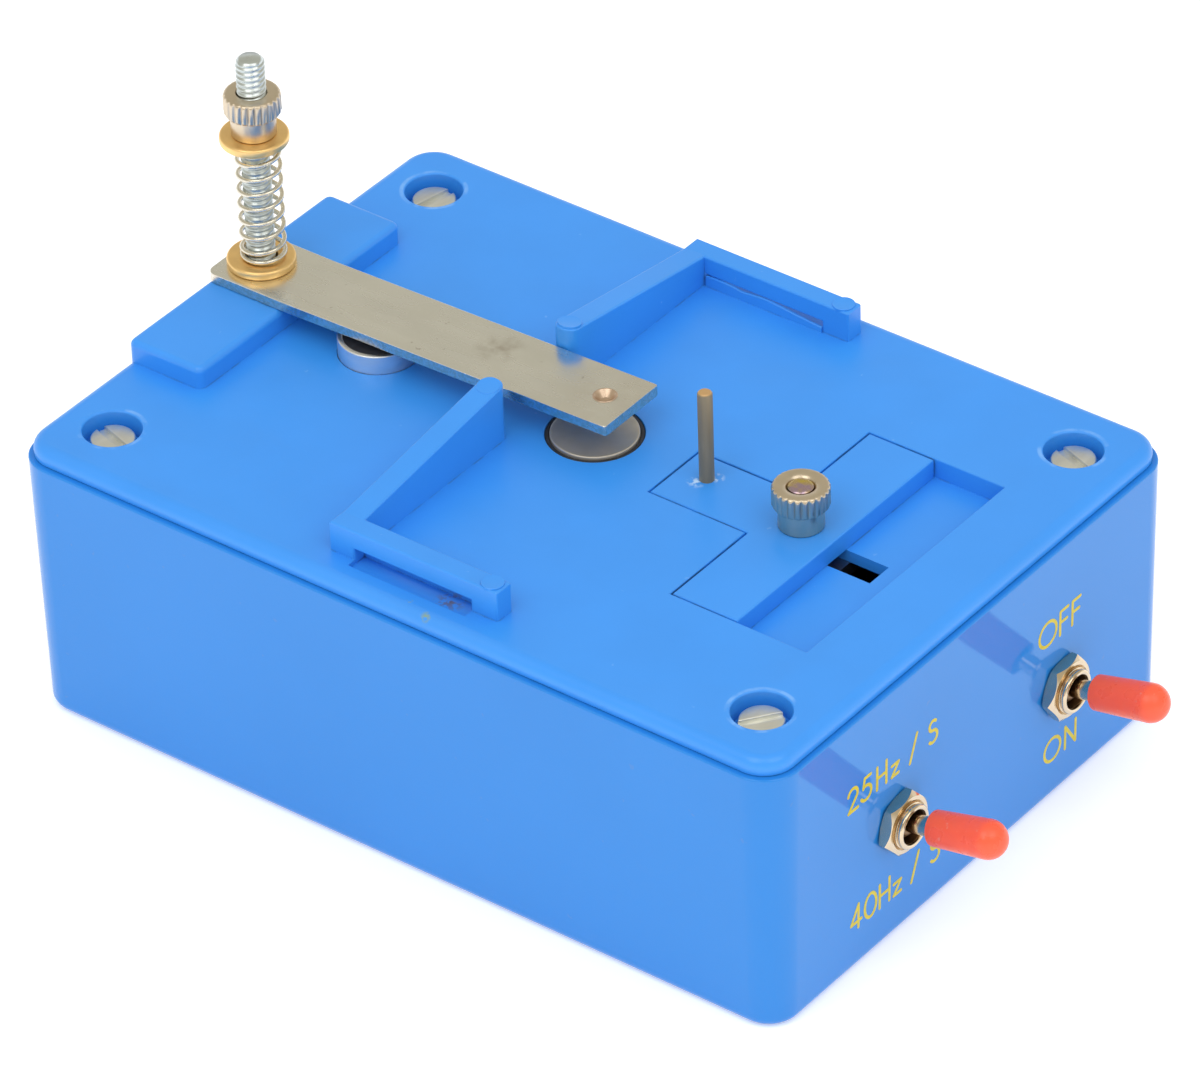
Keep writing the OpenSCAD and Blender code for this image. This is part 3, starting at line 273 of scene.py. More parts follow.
def toothed_nut(b, bore, mouth, sink, matrix):
    """A round nut: smooth collar below, straight rounded teeth above, mouth the bore's radius at its top."""
    per = 10
    n = NUT_TEETH * per
    depth, soft = 0.26, 0.5
    top = NUT_COLLAR_H + NUT_GRIP_H
    rows_of = ([(bore, 0.0)] + [(NUT_COLLAR_R - 0.15 + 0.15 * math.sin(a), 0.15 - 0.15 * math.cos(a))
                                for a in (0, 0.5, 1.0, TURN / 4)]
               + [(NUT_COLLAR_R, NUT_COLLAR_H), (NUT_GRIP_R - 0.62, NUT_COLLAR_H + 0.02),
                  (NUT_GRIP_R - 0.2, NUT_COLLAR_H + 0.3), (NUT_GRIP_R, NUT_COLLAR_H + 0.62),
                  (NUT_GRIP_R, top - soft), (NUT_GRIP_R - 0.05, top - 0.35),
                  (NUT_GRIP_R - 0.16, top - 0.18), (NUT_GRIP_R - 0.34, top - 0.05),
                  (NUT_GRIP_R - 0.55, top), (mouth + sink, top), (mouth + 0.05, top - 0.75 * sink),
                  (mouth, top - sink), (mouth, top - 1.0), (bore, top - 1.1)])
    since = len(b.verts)
    rows = []
    for r, z in rows_of:
        ring = []
        for i in range(n):
            c = 0.5 - 0.5 * math.cos(TURN * i / per)
            tooth = NUT_GRIP_R - depth * (1 - c) ** 2.2
            ring.append((*polar(min(r, tooth), i, n), z))
        rows.append(b.loop(ring))
    b.walls(rows)
    b.wall(rows[-1], rows[0])
    b.place(matrix, since)


def hex_nut(b, af, thick, bore, matrix):
    """A hexagon nut with chamfered corners on both faces."""
    n = 96
    flat = af / 2
    since = len(b.verts)

    def hexagon(a):
        m = (a % (TURN / 6)) - TURN / 12
        return flat / math.cos(m)

    angles = [TURN * i / n for i in range(n)]
    outer = [hexagon(a) for a in angles]
    edge = flat * 0.985
    drop = [max(0.0, r - edge) * 0.85 for r in outer]

    def row(radii, heights):
        return b.loop([(r * math.cos(a), r * math.sin(a), z) for r, a, z in zip(radii, angles, heights)])

    rows = [row([bore] * n, [0.3] * n), row([bore + 0.3] * n, [0.0] * n), row([edge] * n, [0.0] * n),
            row(outer, [d * 0.5 for d in drop]), row(outer, [thick - d for d in drop]),
            row([edge] * n, [thick] * n), row([bore + 0.3] * n, [thick] * n),
            row([bore] * n, [thick - 0.3] * n)]
    b.walls(rows)
    b.wall(rows[-1], rows[0])
    b.place(matrix, since)


def even_shading(obj):
    obj.modifiers.new("even", "WEIGHTED_NORMAL").keep_sharp = True


def make(name, b, body, surface, replaces=(), sharp=SHARP, even=False):
    """Turns a Build into an object that rides on its body."""
    mesh = bpy.data.meshes.new(name)
    mesh.from_pydata([v * MM for v in b.verts], [], b.faces)
    shape = bmesh.new()
    shape.from_mesh(mesh)
    bmesh.ops.remove_doubles(shape, verts=shape.verts, dist=1e-7)
    bmesh.ops.recalc_face_normals(shape, faces=shape.faces)
    shape.to_mesh(mesh)
    shape.free()
    mesh.polygons.foreach_set("use_smooth", [True] * len(mesh.polygons))
    mesh.set_sharp_from_angle(angle=math.radians(sharp))
    obj = bpy.data.objects.new(name, mesh)
    bpy.context.scene.collection.objects.link(obj)
    mesh.materials.append(surface)
    if even:
        even_shading(obj)
    if body:
        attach(obj, body)
    if replaces:
        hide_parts(*replaces)
    return obj


def turning(name, body, surface, node, profile, sides, matrix, ring=False, sharp=SHARP):
    """A piece that is one turned solid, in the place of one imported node."""
    b = Build()
    spin(b, profile, sides, matrix, ring)
    make(name, b, body, surface, (node,), sharp)


# Materials
def srgb(r, g, b):
    def one(v):
        v /= 255
        return v / 12.92 if v <= 0.04045 else ((v + 0.055) / 1.055) ** 2.4
    return (one(r), one(g), one(b), 1.0)


def shade(color, k):
    return tuple(min(1.0, c * k) for c in color[:3]) + (1.0,)


class Nodes:
    """A node tree and the few nodes that its colours are made with."""

    def __init__(self, tree):
        self.tree = tree

    def node(self, kind, **values):
        """A new shader node, its inputs set by name."""
        node = self.tree.nodes.new("ShaderNode" + kind)
        for key, v in values.items():
            node.inputs[key].default_value = v
        return node

    def link(self, a, b):
        self.tree.links.new(a, b)

    def spread(self, value, lo, hi, out_lo=0.0, out_hi=1.0):
        """value from lo to hi, clamped, and laid out from out_lo to out_hi."""
        node = self.node("MapRange", **{"From Min": lo, "From Max": hi, "To Min": out_lo, "To Max": out_hi})
        self.link(value, node.inputs["Value"])
        return node.outputs["Result"]

    def math(self, kind, a, b):
        node = self.node("Math")
        node.operation = kind
        for socket, v in zip(node.inputs, (a, b)):
            if isinstance(v, (int, float)):
                socket.default_value = v
            else:
                self.link(v, socket)
        return node.outputs[0]

    def times(self, a, b):
        return self.math("MULTIPLY", a, b)

    def mix(self, share, a, b):
        node = self.node("Mix")
        node.data_type = "RGBA"
        self.link(share, node.inputs["Factor"])
        for socket, v in ((node.inputs[6], a), (node.inputs[7], b)):
            if isinstance(v, tuple):
                socket.default_value = v
            else:
                self.link(v, socket)
        return node.outputs[2]

    def part(self, vector, axis):
        """One of a vector's three parts."""
        node = self.node("SeparateXYZ")
        self.link(vector, node.inputs[0])
        return node.outputs[axis]


class Surface(Nodes):
    """One node material, with its textures in the object's own coordinates."""

    def __init__(self, name):
        self.mat = bpy.data.materials.new(name)
        self.mat.use_nodes = True
        super().__init__(self.mat.node_tree)
        self.out = next(n for n in self.tree.nodes if n.type == "BSDF_PRINCIPLED")
        self.where = self.node("TexCoord").outputs["Object"]

    def noise(self, scale, detail=3.0, stretch=(1, 1, 1), distortion=0.0):
        mapping = self.node("Mapping", Scale=stretch)
        texture = self.node("TexNoise", Scale=scale, Detail=detail, Distortion=distortion)
        self.link(self.where, mapping.inputs["Vector"])
        self.link(mapping.outputs["Vector"], texture.inputs["Vector"])
        return texture.outputs["Fac"]

    def patches(self, noise, lo, hi, out_lo=0.0, out_hi=1.0):
        """Noise of (scale, detail), spread from lo to hi."""
        return self.spread(self.noise(*noise), lo, hi, out_lo, out_hi)

    def distance(self, where, x, y, z):
        """How far where is from a point given in millimetres."""
        node = self.node("VectorMath")
        node.operation = "DISTANCE"
        self.link(where, node.inputs[0])
        node.inputs[1].default_value = (x * MM, y * MM, z * MM)
        return node.outputs["Value"]

    def near(self, x, y, z, radius):
        """1 at a point of the object, falling to 0 at radius millimetres."""
        return self.spread(self.distance(self.where, x, y, z), radius * MM, 0.0)

    def well_rings(self):
        """1 on the flat rims of the lid's four screw wells."""
        fold = self.node("VectorMath")
        fold.operation = "ABSOLUTE"
        self.link(self.where, fold.inputs[0])
        away = self.distance(fold.outputs[0], SCREW_X, SCREW_Y, LID_TOP)
        ring = self.times(self.spread(away, (WELL_R + 0.1) * MM, (WELL_R + 0.3) * MM),
                          self.spread(away, (WELL_R + 0.8) * MM, (WELL_R + 0.6) * MM))
        return self.times(ring, self.spread(self.facing(), 0.5, 0.8))

    def height(self, lo, hi, axis="Z"):
        return self.spread(self.part(self.where, axis), lo * MM, hi * MM)

    def facing(self):
        """How far the surface faces up."""
        return self.part(self.node("NewGeometry").outputs["Normal"], "Z")

    # Painted shade: 1 where ambient occlusion finds a corner within reach millimetres, 0 in the open.
    def occlusion_shade(self, reach):
        node = self.node("AmbientOcclusion", Distance=reach * MM)
        node.samples = 8
        return self.spread(node.outputs["AO"], 0.75, 0.35)

    def color(self, value):
        self.link(value, self.out.inputs["Base Color"])

    def paint(self, share, color):
        """Lays color over the surface's own, by share."""
        self.color(self.mix(share, self.out.inputs["Base Color"].links[0].from_socket, color))

    def rough(self, value, lo, hi):
        self.link(self.spread(value, 0.3, 0.7, lo, hi), self.out.inputs["Roughness"])

    def bump(self, value, strength, distance):
        node = self.node("Bump", Strength=strength, Distance=distance * MM)
        self.link(value, node.inputs["Height"])
        if self.out.inputs["Normal"].links:
            self.link(self.out.inputs["Normal"].links[0].from_socket, node.inputs["Normal"])
        self.link(node.outputs["Normal"], self.out.inputs["Normal"])

    def set(self, **values):
        for key, v in values.items():
            self.out.inputs[key.replace("_", " ")].default_value = v
        return self


def plain(name, color, rough, metal=0.0, vary=0.06, scale=350, grain=1500, bump=0.05, stretch=(1, 1, 1)):
    """Colour, roughness and surface that all vary a little, as on any real material."""
    s = Surface(name)
    cloud = s.noise(scale, 4.0, stretch)
    s.color(s.mix(s.spread(cloud, 0.3, 0.7), shade(color, 1 - vary), shade(color, 1 + vary)))
    s.rough(s.noise(scale * 1.7, 3.0, stretch), rough[0], rough[1])
    if bump:
        s.bump(s.noise(grain, 2.0, stretch), bump, 0.05)
    return s.set(Metallic=metal)


def lid_surface(name, specks, rim_wear_and_highlight=False):
    """Matt blue with dust, faint stains, painted shade with some dirt in its corners, a light ring on the
    screw wells' rims that is partly wear and partly painted highlight, and specks of (x, y, z, radius,
    colour).
    """
    s = plain(name, srgb(54, 145, 233), (0.30, 0.40), vary=0.025, scale=90, grain=2600, bump=0.06)
    s.paint(s.times(s.patches((620, 2.0), 0.75, 0.81), 0.3), srgb(150, 200, 250))
    if rim_wear_and_highlight:
        # A light ring on the wells' rims: partly wear, partly a painted highlight where the rounded rim
        # catches light.
        s.paint(s.times(s.well_rings(), s.patches((300, 3.0), 0.46, 0.62, 0.0, 0.35)), srgb(160, 205, 250))
    s.paint(s.times(s.spread(s.noise(38, 4.0, distortion=0.6), 0.56, 0.78), 0.10), srgb(70, 120, 180))
    # Painted shade with some dirt: grey-blue laid into corners and the feet of walls by the occlusion mask.
    s.paint(s.times(s.occlusion_shade(0.55), s.patches((420, 5.0), 0.42, 0.62, 0.0, 0.6)), srgb(70, 92, 120))
    for x, y, z, r, tint in specks:
        s.paint(s.times(s.near(x, y, z, r), s.patches((1300, 3.0), 0.47, 0.56)), tint)
    return s.mat


def case_surface():
    s = plain("gloss_blue", srgb(41, 131, 214), (0.05, 0.09), vary=0.02, scale=40, bump=0.0)
    s.paint(s.times(s.patches((520, 2.0), 0.735, 0.775), 0.3), srgb(90, 130, 190))
    s.bump(s.noise(110, 2.0), 0.05, 0.4)
    s.bump(s.noise(1800, 2.0), 0.03, 0.02)
    return s.set(Specular_IOR_Level=0.4).mat


def metal(name, color, rough, vary=0.08, scale=500, bump=0.05, grain=3000, stretch=(1, 1, 1)):
    return plain(name, color, rough, 1.0, vary, scale, grain, bump, stretch)


def arm_surface():
    """Plated strip: a smudge, a warmer tip, spots, and sides tinted darker and warmer by which way they face,
    partly their rough sheared grain and partly painted shade.
    """
    s = metal("plated_strip", srgb(230, 229, 222), (0.20, 0.32), 0.035, 260, 0.05, 2400, (0.35, 1, 1))
    smudge = s.times(s.near(-17.0, 3.1, 47.6, 3.8), s.patches((420, 5.0), 0.40, 0.62))
    s.paint(s.times(smudge, 0.5), srgb(138, 118, 94))
    s.paint(s.times(s.height(-8, 6, "X"), s.patches((150, 3.0), 0.35, 0.65, 0.1, 0.32)), srgb(176, 150, 116))
    s.paint(s.times(s.patches((900, 3.0), 0.70, 0.77), 0.35), srgb(120, 100, 78))
    # Painted shade with the sheared grain: faces turned away from the top get a speckled darker, warmer tint.
    s.paint(s.times(s.spread(s.facing(), 0.6, 0.3), s.patches((2400, 2.0), 0.4, 0.6, 0.1, 0.6)),
            srgb(206, 186, 156))
    s.bump(s.noise(2600, 2.0, (1, 1, 0.05)), 0.06, 0.03)
    return s.mat


def turned_metal(name, color, rough, x, y):
    """Metal with fine turning rings round the axis through x, y."""
    s = metal(name, color, rough, 0.06, 420, 0.03, 2600)
    mapping = s.node("Mapping", Location=(-x * MM, -y * MM, 0))
    wave = s.node("TexWave", Scale=900, Distortion=1.5)
    wave.wave_type = "RINGS"
    wave.rings_direction = "Z"
    s.link(s.where, mapping.inputs["Vector"])
    s.link(mapping.outputs["Vector"], wave.inputs["Vector"])
    s.bump(wave.outputs["Fac"], 0.08, 0.02)
    return s


def spindle_surface():
    s = metal("spindle_bronze", srgb(140, 127, 102), (0.34, 0.46), 0.14, 900, 0.08, 2600, (1, 1, 0.1))
    s.paint(s.height(SPINDLE_TOP - 0.2, SPINDLE_TOP - 0.08), srgb(200, 160, 108))
    return s.set(Metallic=0.4).mat


def iridescent(name):
    s = metal(name, srgb(196, 176, 110), (0.18, 0.3), 0.05, 500, 0.08)
    s.color(s.mix(s.patches((420, 3.0), 0.4, 0.6), srgb(214, 190, 96), srgb(184, 160, 176)))
    s.paint(s.patches((300, 2.0), 0.5, 0.7), srgb(150, 186, 140))
    return s.mat


def cap_surface():
    s = plain("red_cap", srgb(255, 95, 60), (0.24, 0.36), vary=0.05, scale=260, grain=1800, bump=0.10)
    s.paint(s.times(s.patches((1500, 2.0), 0.68, 0.74), 0.5), srgb(250, 160, 140))
    s.set(Subsurface_Weight=0.12, Subsurface_Scale=0.0012, Specular_IOR_Level=0.5)
    return s.set(Subsurface_Radius=(1.0, 0.35, 0.2)).mat


# SLOT_SHADE is painted shade on the lead-in floor inside the front tape slot, under its wall.
WHITE_MARK, PAINT_SPECK, SLOT_SHADE = srgb(190, 220, 250), srgb(140, 160, 85), srgb(98, 92, 104)
case_blue = case_surface()
lid_blue = lid_surface("lid_blue", (
    (2.6, -40.9, LID_TOP - 0.2, 0.7, PAINT_SPECK), (6.0, -41.8, LID_TOP - 0.4, 0.9, PAINT_SPECK),
    (6.2, -37.2, LID_TOP - 0.7, 2.4, SLOT_SHADE)), rim_wear_and_highlight=True)
slide_blue = lid_surface("slide_blue", (
    (SPINDLE_X - 0.7, SPINDLE_Y - 1.2, LID_TOP, 1.5, WHITE_MARK),
    (SPINDLE_X + 0.9, SPINDLE_Y + 0.9, LID_TOP, 1.2, WHITE_MARK)))
steel_strip = arm_surface()
zinc = metal("bright_zinc", srgb(212, 220, 220), (0.26, 0.38), 0.05, 600, 0.06).mat
screw_zinc = metal("screw_zinc", srgb(236, 236, 228), (0.36, 0.5), 0.08, 500, 0.10, 2600, (1, 0.3, 1)).mat
nickel = metal("nickel", srgb(214, 199, 176), (0.28, 0.38), 0.04, 500, 0.0).mat
bright_nickel = metal("bright_nickel", srgb(222, 203, 174), (0.10, 0.2), 0.05, 400, 0.02).mat
# Painted shade: a dark brown for the switches' pivot balls and a thin lining of their bush bores, which lie
# in shade.
bore_shade = metal("bore_shade", srgb(136, 112, 88), (0.3, 0.45), 0.2, 700, 0.06).mat
spring_wire = metal("spring_wire", srgb(226, 220, 204), (0.2, 0.3), 0.05, 900, 0.05).mat
brass = turned_metal("washer_brass", srgb(251, 211, 144), (0.34, 0.46), STUD_X, ARM_Y).mat
copper = metal("rivet_bronze", srgb(212, 188, 166), (0.32, 0.44), 0.08, 900, 0.06).mat
pot_steel = metal("pot_steel", srgb(232, 235, 238), (0.32, 0.44), 0.06, 500, 0.06, 2600, (0.3, 0.3, 1)).mat
resin = plain("black_resin", srgb(50, 52, 58), (0.45, 0.65), vary=0.2, scale=600, bump=0.2).mat
rubber = plain("black_rubber", srgb(44, 46, 52), (0.5, 0.7), vary=0.35, scale=700, bump=0.15).mat
anvil_steel = turned_metal("anvil_steel", srgb(196, 189, 176), (0.36, 0.48), ANVIL_X, ANVIL_Y)
anvil_steel = anvil_steel.set(Metallic=0.75).mat
bronze = spindle_surface()
yellow_zinc = iridescent("yellow_zinc")
cap_red = cap_surface()
ink = plain("yellow_ink", srgb(208, 190, 40), (0.4, 0.55), vary=0.10, scale=1200, bump=0.05).mat
socket_red = plain("socket_red", srgb(206, 46, 38), (0.2, 0.3), vary=0.04, scale=300).mat
socket_black = plain("socket_black", srgb(30, 30, 32), (0.2, 0.3), vary=0.12, scale=300).mat

LEAD = (0.3, 0.45)
INNER = (
    ("core_iron", (140, 142, 144), (0.3, 0.45), 1.0, "magnet_core"),
    ("bobbin_nylon", (230, 226, 212), (0.4, 0.55), 0.0, "coil_bobbin"),
    ("plain_steel", (182, 180, 166), (0.25, 0.4), 1.0, "anvil_nut socket_nuts board_screws"),
    ("plate_steel", (160, 164, 166), (0.28, 0.42), 1.0, "clamp_plate"),
    ("switch_housing", (36, 38, 44), (0.4, 0.55), 0.0, "power_switch_body speed_switch_body"),
    ("tinned", (200, 198, 186), (0.25, 0.4), 1.0, "power_switch_tags speed_switch_tags"),
    ("board_green", (40, 104, 62), (0.3, 0.45), 0.0, "circuit_board"),
    ("chip_black", (34, 34, 38), (0.45, 0.6), 0.0, "timer_chip drive_transistor"),
    ("capacitor_sleeve", (38, 52, 84), (0.25, 0.35), 0.0, "smoothing_capacitor"),
    ("trimmer_blue", (44, 98, 184), (0.35, 0.5), 0.0, "rate_trimmers"),
    ("resistor_body", (206, 186, 142), (0.35, 0.5), 0.0, "resistors"),
    ("red_insulation", (190, 40, 32), LEAD, 0.0, "supply_leads power_switch_leads"),
    ("yellow_insulation", (222, 204, 70), LEAD, 0.0, "coil_leads"),
    ("green_insulation", (60, 124, 72), LEAD, 0.0, "speed_switch_leads"),
)


def dress(node, surface):
    """Gives a CAD piece that stays visible its surface."""
    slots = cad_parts[node].data.materials
    if not len(slots):
        slots.append(surface)
    for i in range(len(slots)):
        slots[i] = surface


def dress_inner():
    for name, color, rough, metallic, nodes in INNER:
        surface = plain(name, srgb(*color), rough, metallic, 0.08, 500, 2000, 0.06).mat
        for node in nodes.split():
            dress(node, surface)
    winding = metal("enamelled_wire", srgb(190, 108, 52), (0.2, 0.32), 0.1, 600, 0.0)
    wave = winding.node("TexWave", Scale=700)
    wave.bands_direction = "Z"
    winding.link(winding.where, wave.inputs["Vector"])
    winding.bump(wave.outputs["Fac"], 0.5, 0.1)
    dress("coil_winding", winding.mat)


# The case
def case_rows(b):
    def ring(hx, hy, r, z):
        return b.loop(at(rounded(hx, hy, r), z))

    rows = [ring(CASE_X - i, CASE_Y - i, CORNER - i * 0.9, d) for i, d in reversed(quarter(FOOT, 7))]
    rim = 0.3
    for i, d in quarter(rim, 4):
        out = DRAFT * (CASE_H - d - FOOT) / (CASE_H - FOOT) - i
        rows.append(ring(CASE_X + out, CASE_Y + out, CORNER + out, CASE_H - d))
    rows.append(ring(CASE_X - WALL, CASE_Y - WALL, CORNER - WALL, CASE_H))
    rows.append(ring(CASE_X - WALL, CASE_Y - WALL, CORNER - WALL, FLOOR))
    b.solid(rows)


def cut(obj, cutter):
    """Takes the cutter's shape out of obj, and applies it."""
    boolean = obj.modifiers.new("holes", "BOOLEAN")
    boolean.operation = "DIFFERENCE"
    boolean.solver = "EXACT"
    boolean.object = cutter
    bpy.context.view_layer.update()
    shape = bpy.data.meshes.new_from_object(obj.evaluated_get(bpy.context.evaluated_depsgraph_get()))
    obj.modifiers.clear()
    old = obj.data
    obj.data = shape
    bpy.data.meshes.remove(old)
    bpy.data.objects.remove(cutter)
    obj.data.set_sharp_from_angle(angle=math.radians(SHARP))


def build_case():
    b = Build()
    case_rows(b)
    shell = make("case_shell", b, None, case_blue, even=False)
    holes = Build()
    for y, z, _ in SWITCHES.values():
        spin(holes, [(0, -4), (BUSH_R + 0.2, -4), (BUSH_R + 0.2, 4), (0, 4)], 48,
             move(CASE_X, y, z) @ turn(90, "Y"))
    for x in SOCKETS:
        spin(holes, [(0, -4), (NECK_R + 0.2, -4), (NECK_R + 0.2, 4), (0, 4)], 48,
             move(x, CASE_Y, SOCKET_Z) @ turn(-90, "X"))
    cut(shell, make("hole_cutter", holes, None, case_blue))
    even_shading(shell)
    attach(shell, "case")
    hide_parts("base_case")
    b = Build()
    for sx, sy in SCREW_TURNS:
        spin(b, [(0, FLOOR - 0.3), (4.0, FLOOR - 0.3), (4.0, PLUG_BOTTOM - 0.3), (3.7, PLUG_BOTTOM),
                 (1.55, PLUG_BOTTOM), (1.55, PLUG_BOTTOM - 12), (0, PLUG_BOTTOM - 12)], 32,
             move(sx * SCREW_X, sy * SCREW_Y, 0))
        spin(b, [(0, FLOOR - 0.3), (3.0, FLOOR - 0.3), (3.0, 7.25), (2.85, 7.4), (1.3, 7.4),
                 (1.3, 3.6), (0, 3.6)], 32, move(8 + sx * 23, sy * 21, 0))
    make("case_posts", b, "case", case_blue, ("base_case",))


# The lid
def pit(b, tops, outline, floor, rim):
    """A hollow in the lid's top: adds its upper loop to tops and returns its lowest."""
    rows = [b.loop(at(inset(outline, -i), LID_TOP - d)) for i, d in reversed(quarter(rim, 4))]
    rows.append(b.loop(at(outline, floor)))
    b.walls(rows)
    tops.append(rows[0])
    return rows[-1]


def t_outline(bar, gap):
    x0, x1, x2 = TONGUE_X + gap, TONGUE_X + TONGUE_LEN + gap, TONGUE_X + TONGUE_LEN + bar - gap
    h, w = TONGUE_HALF - gap, BAR_HALF - gap
    return [(x0, SLIDE_Y - h), (x1, SLIDE_Y - h), (x1, SLIDE_Y - w), (x2, SLIDE_Y - w),
            (x2, SLIDE_Y + w), (x1, SLIDE_Y + w), (x1, SLIDE_Y + h), (x0, SLIDE_Y + h)]


def lid_piece(name, b, even=True):
    make(name, b, "case", lid_blue, ("lid",), even=even)


def build_lid():
    b = Build()
    outer = rounded(CASE_X, CASE_Y, CORNER)
    plug = rounded(CASE_X - WALL - 0.3, CASE_Y - WALL - 0.3, CORNER - WALL)
    under = 0.12
    rows = [b.loop(at(plug, PLUG_BOTTOM)), b.loop(at(plug, CASE_H + under)),
            b.loop(at(inset(outer, 0.1), CASE_H + under))]
    rows += [b.loop(at(inset(outer, i), LID_TOP - d)) for i, d in quarter(LID_EDGE, 8)]
    b.walls(rows)
    tops = []
    for sx, sy in SCREW_TURNS:
        b.cap(pit(b, tops, circle(WELL_R, 56, sx * SCREW_X, sy * SCREW_Y), HEAD_Z, 0.3))
    magnet_low = pit(b, tops, circle(POT_R + 0.05, 64, MAGNET_X, 0), PLUG_BOTTOM, 0.15)
    b.cap(pit(b, tops, circle(RING_R + 0.05, 64, ANVIL_X, ANVIL_Y), ANVIL_TOP - ANVIL_T - 0.05, 0.12))
    low = pit(b, tops, t_outline(BAR_RECESS, 0), RECESS_Z, 0.2)
    slot = box_outline(SLOT_X0, SLOT_X1, SLIDE_Y - SLOT_HALF, SLIDE_Y + SLOT_HALF)
    slot_top, slot_low = b.loop(at(slot, RECESS_Z)), b.loop(at(slot, PLUG_BOTTOM))
    b.wall(slot_top, slot_low)
    b.cap(low, slot_top)
    deep = SLOT_WALL_T - TAPE_LIP
    for y0, y1 in ((GUIDE_Y - GUIDE_REACH - LEAD_OUT, GUIDE_Y - GUIDE_REACH + deep),
                   (GUIDE_Y + GUIDE_REACH - deep, GUIDE_Y + GUIDE_REACH + LEAD_OUT)):
        b.cap(pit(b, tops, box_outline(TAPE_X0, TAPE_X1, y0, y1), LID_TOP - LEAD_DEPTH, 0.12))
    b.cap(rows[-1], *tops)
    b.cap(rows[0], magnet_low, slot_low)
    lid_piece("lid_plate", b)
    b = Build()
    spin(b, [(POT_R + 0.05, 29.5), (POT_R + 2.4, 29.5), (POT_R + 2.5, 29.6), (POT_R + 2.5, 37.6),
             (POT_R + 0.05, 37.6)], 64, move(MAGNET_X, 0, 0), ring=True)
    lid_piece("magnet_collar", b, even=False)
    b = Build()
    mid = (SEAT_LEFT + SEAT_RIGHT) / 2
    slab(b, rounded((SEAT_RIGHT - SEAT_LEFT) / 2, SEAT_WID / 2, 1.1, mid, SEAT_Y, 6),
         LID_TOP - LID_EDGE - 0.2, SEAT_TOP, 0.9, steps=6)
    lid_piece("arm_seat", b)


def guide_top(y, inner):
    """Height of a guide's side wall at y, before the wall is mirrored to the back."""
    outer = GUIDE_Y - GUIDE_REACH + SLOT_WALL_T
    share = min(1.0, max(0.0, (y - outer) / (inner - outer)))
    return LID_TOP + LOW_H + (HIGH_H - LOW_H) * share


def side_wall(b, y1):
    """The sloping wall, as rows across it from the slotted wall to its round end at y1."""
    x0, x1 = GUIDE_X, GUIDE_X + SIDE_T
    y0 = GUIDE_Y - GUIDE_REACH + 0.01
    r, edge, n = 1.45, 0.3, 10
    stations = [(y0, 0.0), (y0 + SLOT_WALL_T, 0.0)]
    stations += [(y0 + SLOT_WALL_T + (y1 - r - y0 - SLOT_WALL_T) * k / 4, 0.0) for k in range(1, 5)]
    stations += [(y1 - d, i) for i, d in quarter(r, n)[1:]]
    left = [(x0 + i, y) for y, i in stations]
    right = [(x1 - i, y) for y, i in stations]
    outline = left[::-1] + right
    count = len(left)
    rows = [b.loop(at(outline, LID_TOP - 0.5))]
    for i, d in quarter(edge, 4):
        rows.append(b.loop(at(inset(outline, i), lambda x, y: guide_top(y, y1) - d - 0.004)))
    b.walls(rows)
    b.cap(rows[0])
    top = rows[-1]
    for k in range(count - 1):
        b.faces.append((top[count - 1 - k], top[count - 2 - k], top[count + k + 1], top[count + k]))


def slotted_wall(b):
    """The low wall over the tape slot, drawn upright and turned to lie across the lid."""
    z0, z1, zt, r = LID_TOP - 0.5, LID_TOP + LOW_H, LID_TOP + TAPE_H, 0.3
    x0, x1 = GUIDE_X + 0.004, GUIDE_X + GUIDE_LEN
    s0, s1 = TAPE_X0 + 0.03, TAPE_X1 - 0.03
    outline = [(x0, z0), (s0, z0), (s0, zt), (s1, zt), (s1, z0), (x1, z0)]
    outline += arc(x1 - r, z1 - r, r, 0, 90, 4) + arc(x0 + r, z1 - r, r, 90, 180, 4)
    since = len(b.verts)
    slab(b, outline, 0.0, SLOT_WALL_T, 0.3, 0.3, 4)
    b.place(move(0, GUIDE_Y - GUIDE_REACH + SLOT_WALL_T, 0) @ turn(90, "X"), since)


LIP_HEIGHTS = (1.55, 1.62, 1.64, 1.58, 1.32, 1.46, 1.62, 1.64, 1.5, 1.36, 1.18, 1.05, 0.92, 0.82)


def slot_lip(b):
    """The wavy moulding lip along the slot's inner foot."""
    y = GUIDE_Y - GUIDE_REACH + SLOT_WALL_T
    rows = []
    for k, h in enumerate(LIP_HEIGHTS):
        x = TAPE_X0 - 0.05 + (TAPE_X1 - TAPE_X0 + 0.1) * k / (len(LIP_HEIGHTS) - 1)
        z = LID_TOP + h
        rows.append(b.loop([(x, y - 0.5, LID_TOP - 0.1), (x, y + 0.3, LID_TOP - 0.1), (x, y + 0.22, z - 0.12),
                            (x, y + 0.12, z), (x, y - 0.05, z), (x, y - 0.15, z - 0.12)]))
    b.solid(rows)


def mark(b, r, rise, matrix):
    """A round ejector mark: a thin raised disc."""
    spin(b, [(0, -0.4), (r - 0.05, -0.4), (r, -0.3), (r, rise - 0.05), (r - 0.05, rise),
             (r - 0.25, rise - 0.03), (0, rise - 0.03)], 40, matrix)


def build_guides():
    flip = Matrix.Scale(-1, 4, (0, 1, 0))
    for name, back, end in (("front_tape_guide", False, FRONT_END),
                            ("back_tape_guide", True, 2 * GUIDE_Y - BACK_END)):
        b = Build()
        side_wall(b, end)
        slotted_wall(b)
        mark(b, 1.5, 0.2, move(12.55, GUIDE_Y - GUIDE_REACH + 1.5, LID_TOP + LOW_H))
        y = end - 1.75
        slope = math.degrees(math.atan((HIGH_H - LOW_H) / (end - GUIDE_Y + GUIDE_REACH - SLOT_WALL_T)))
        mark(b, 1.6, 0.28 if back else 0.06, move(GUIDE_X + 1.7, y, guide_top(y, end)) @ turn(slope, "X"))
        if back:
            slot_lip(b)
            b.place(move(0, 2 * GUIDE_Y, 0) @ flip)
        lid_piece(name, b)


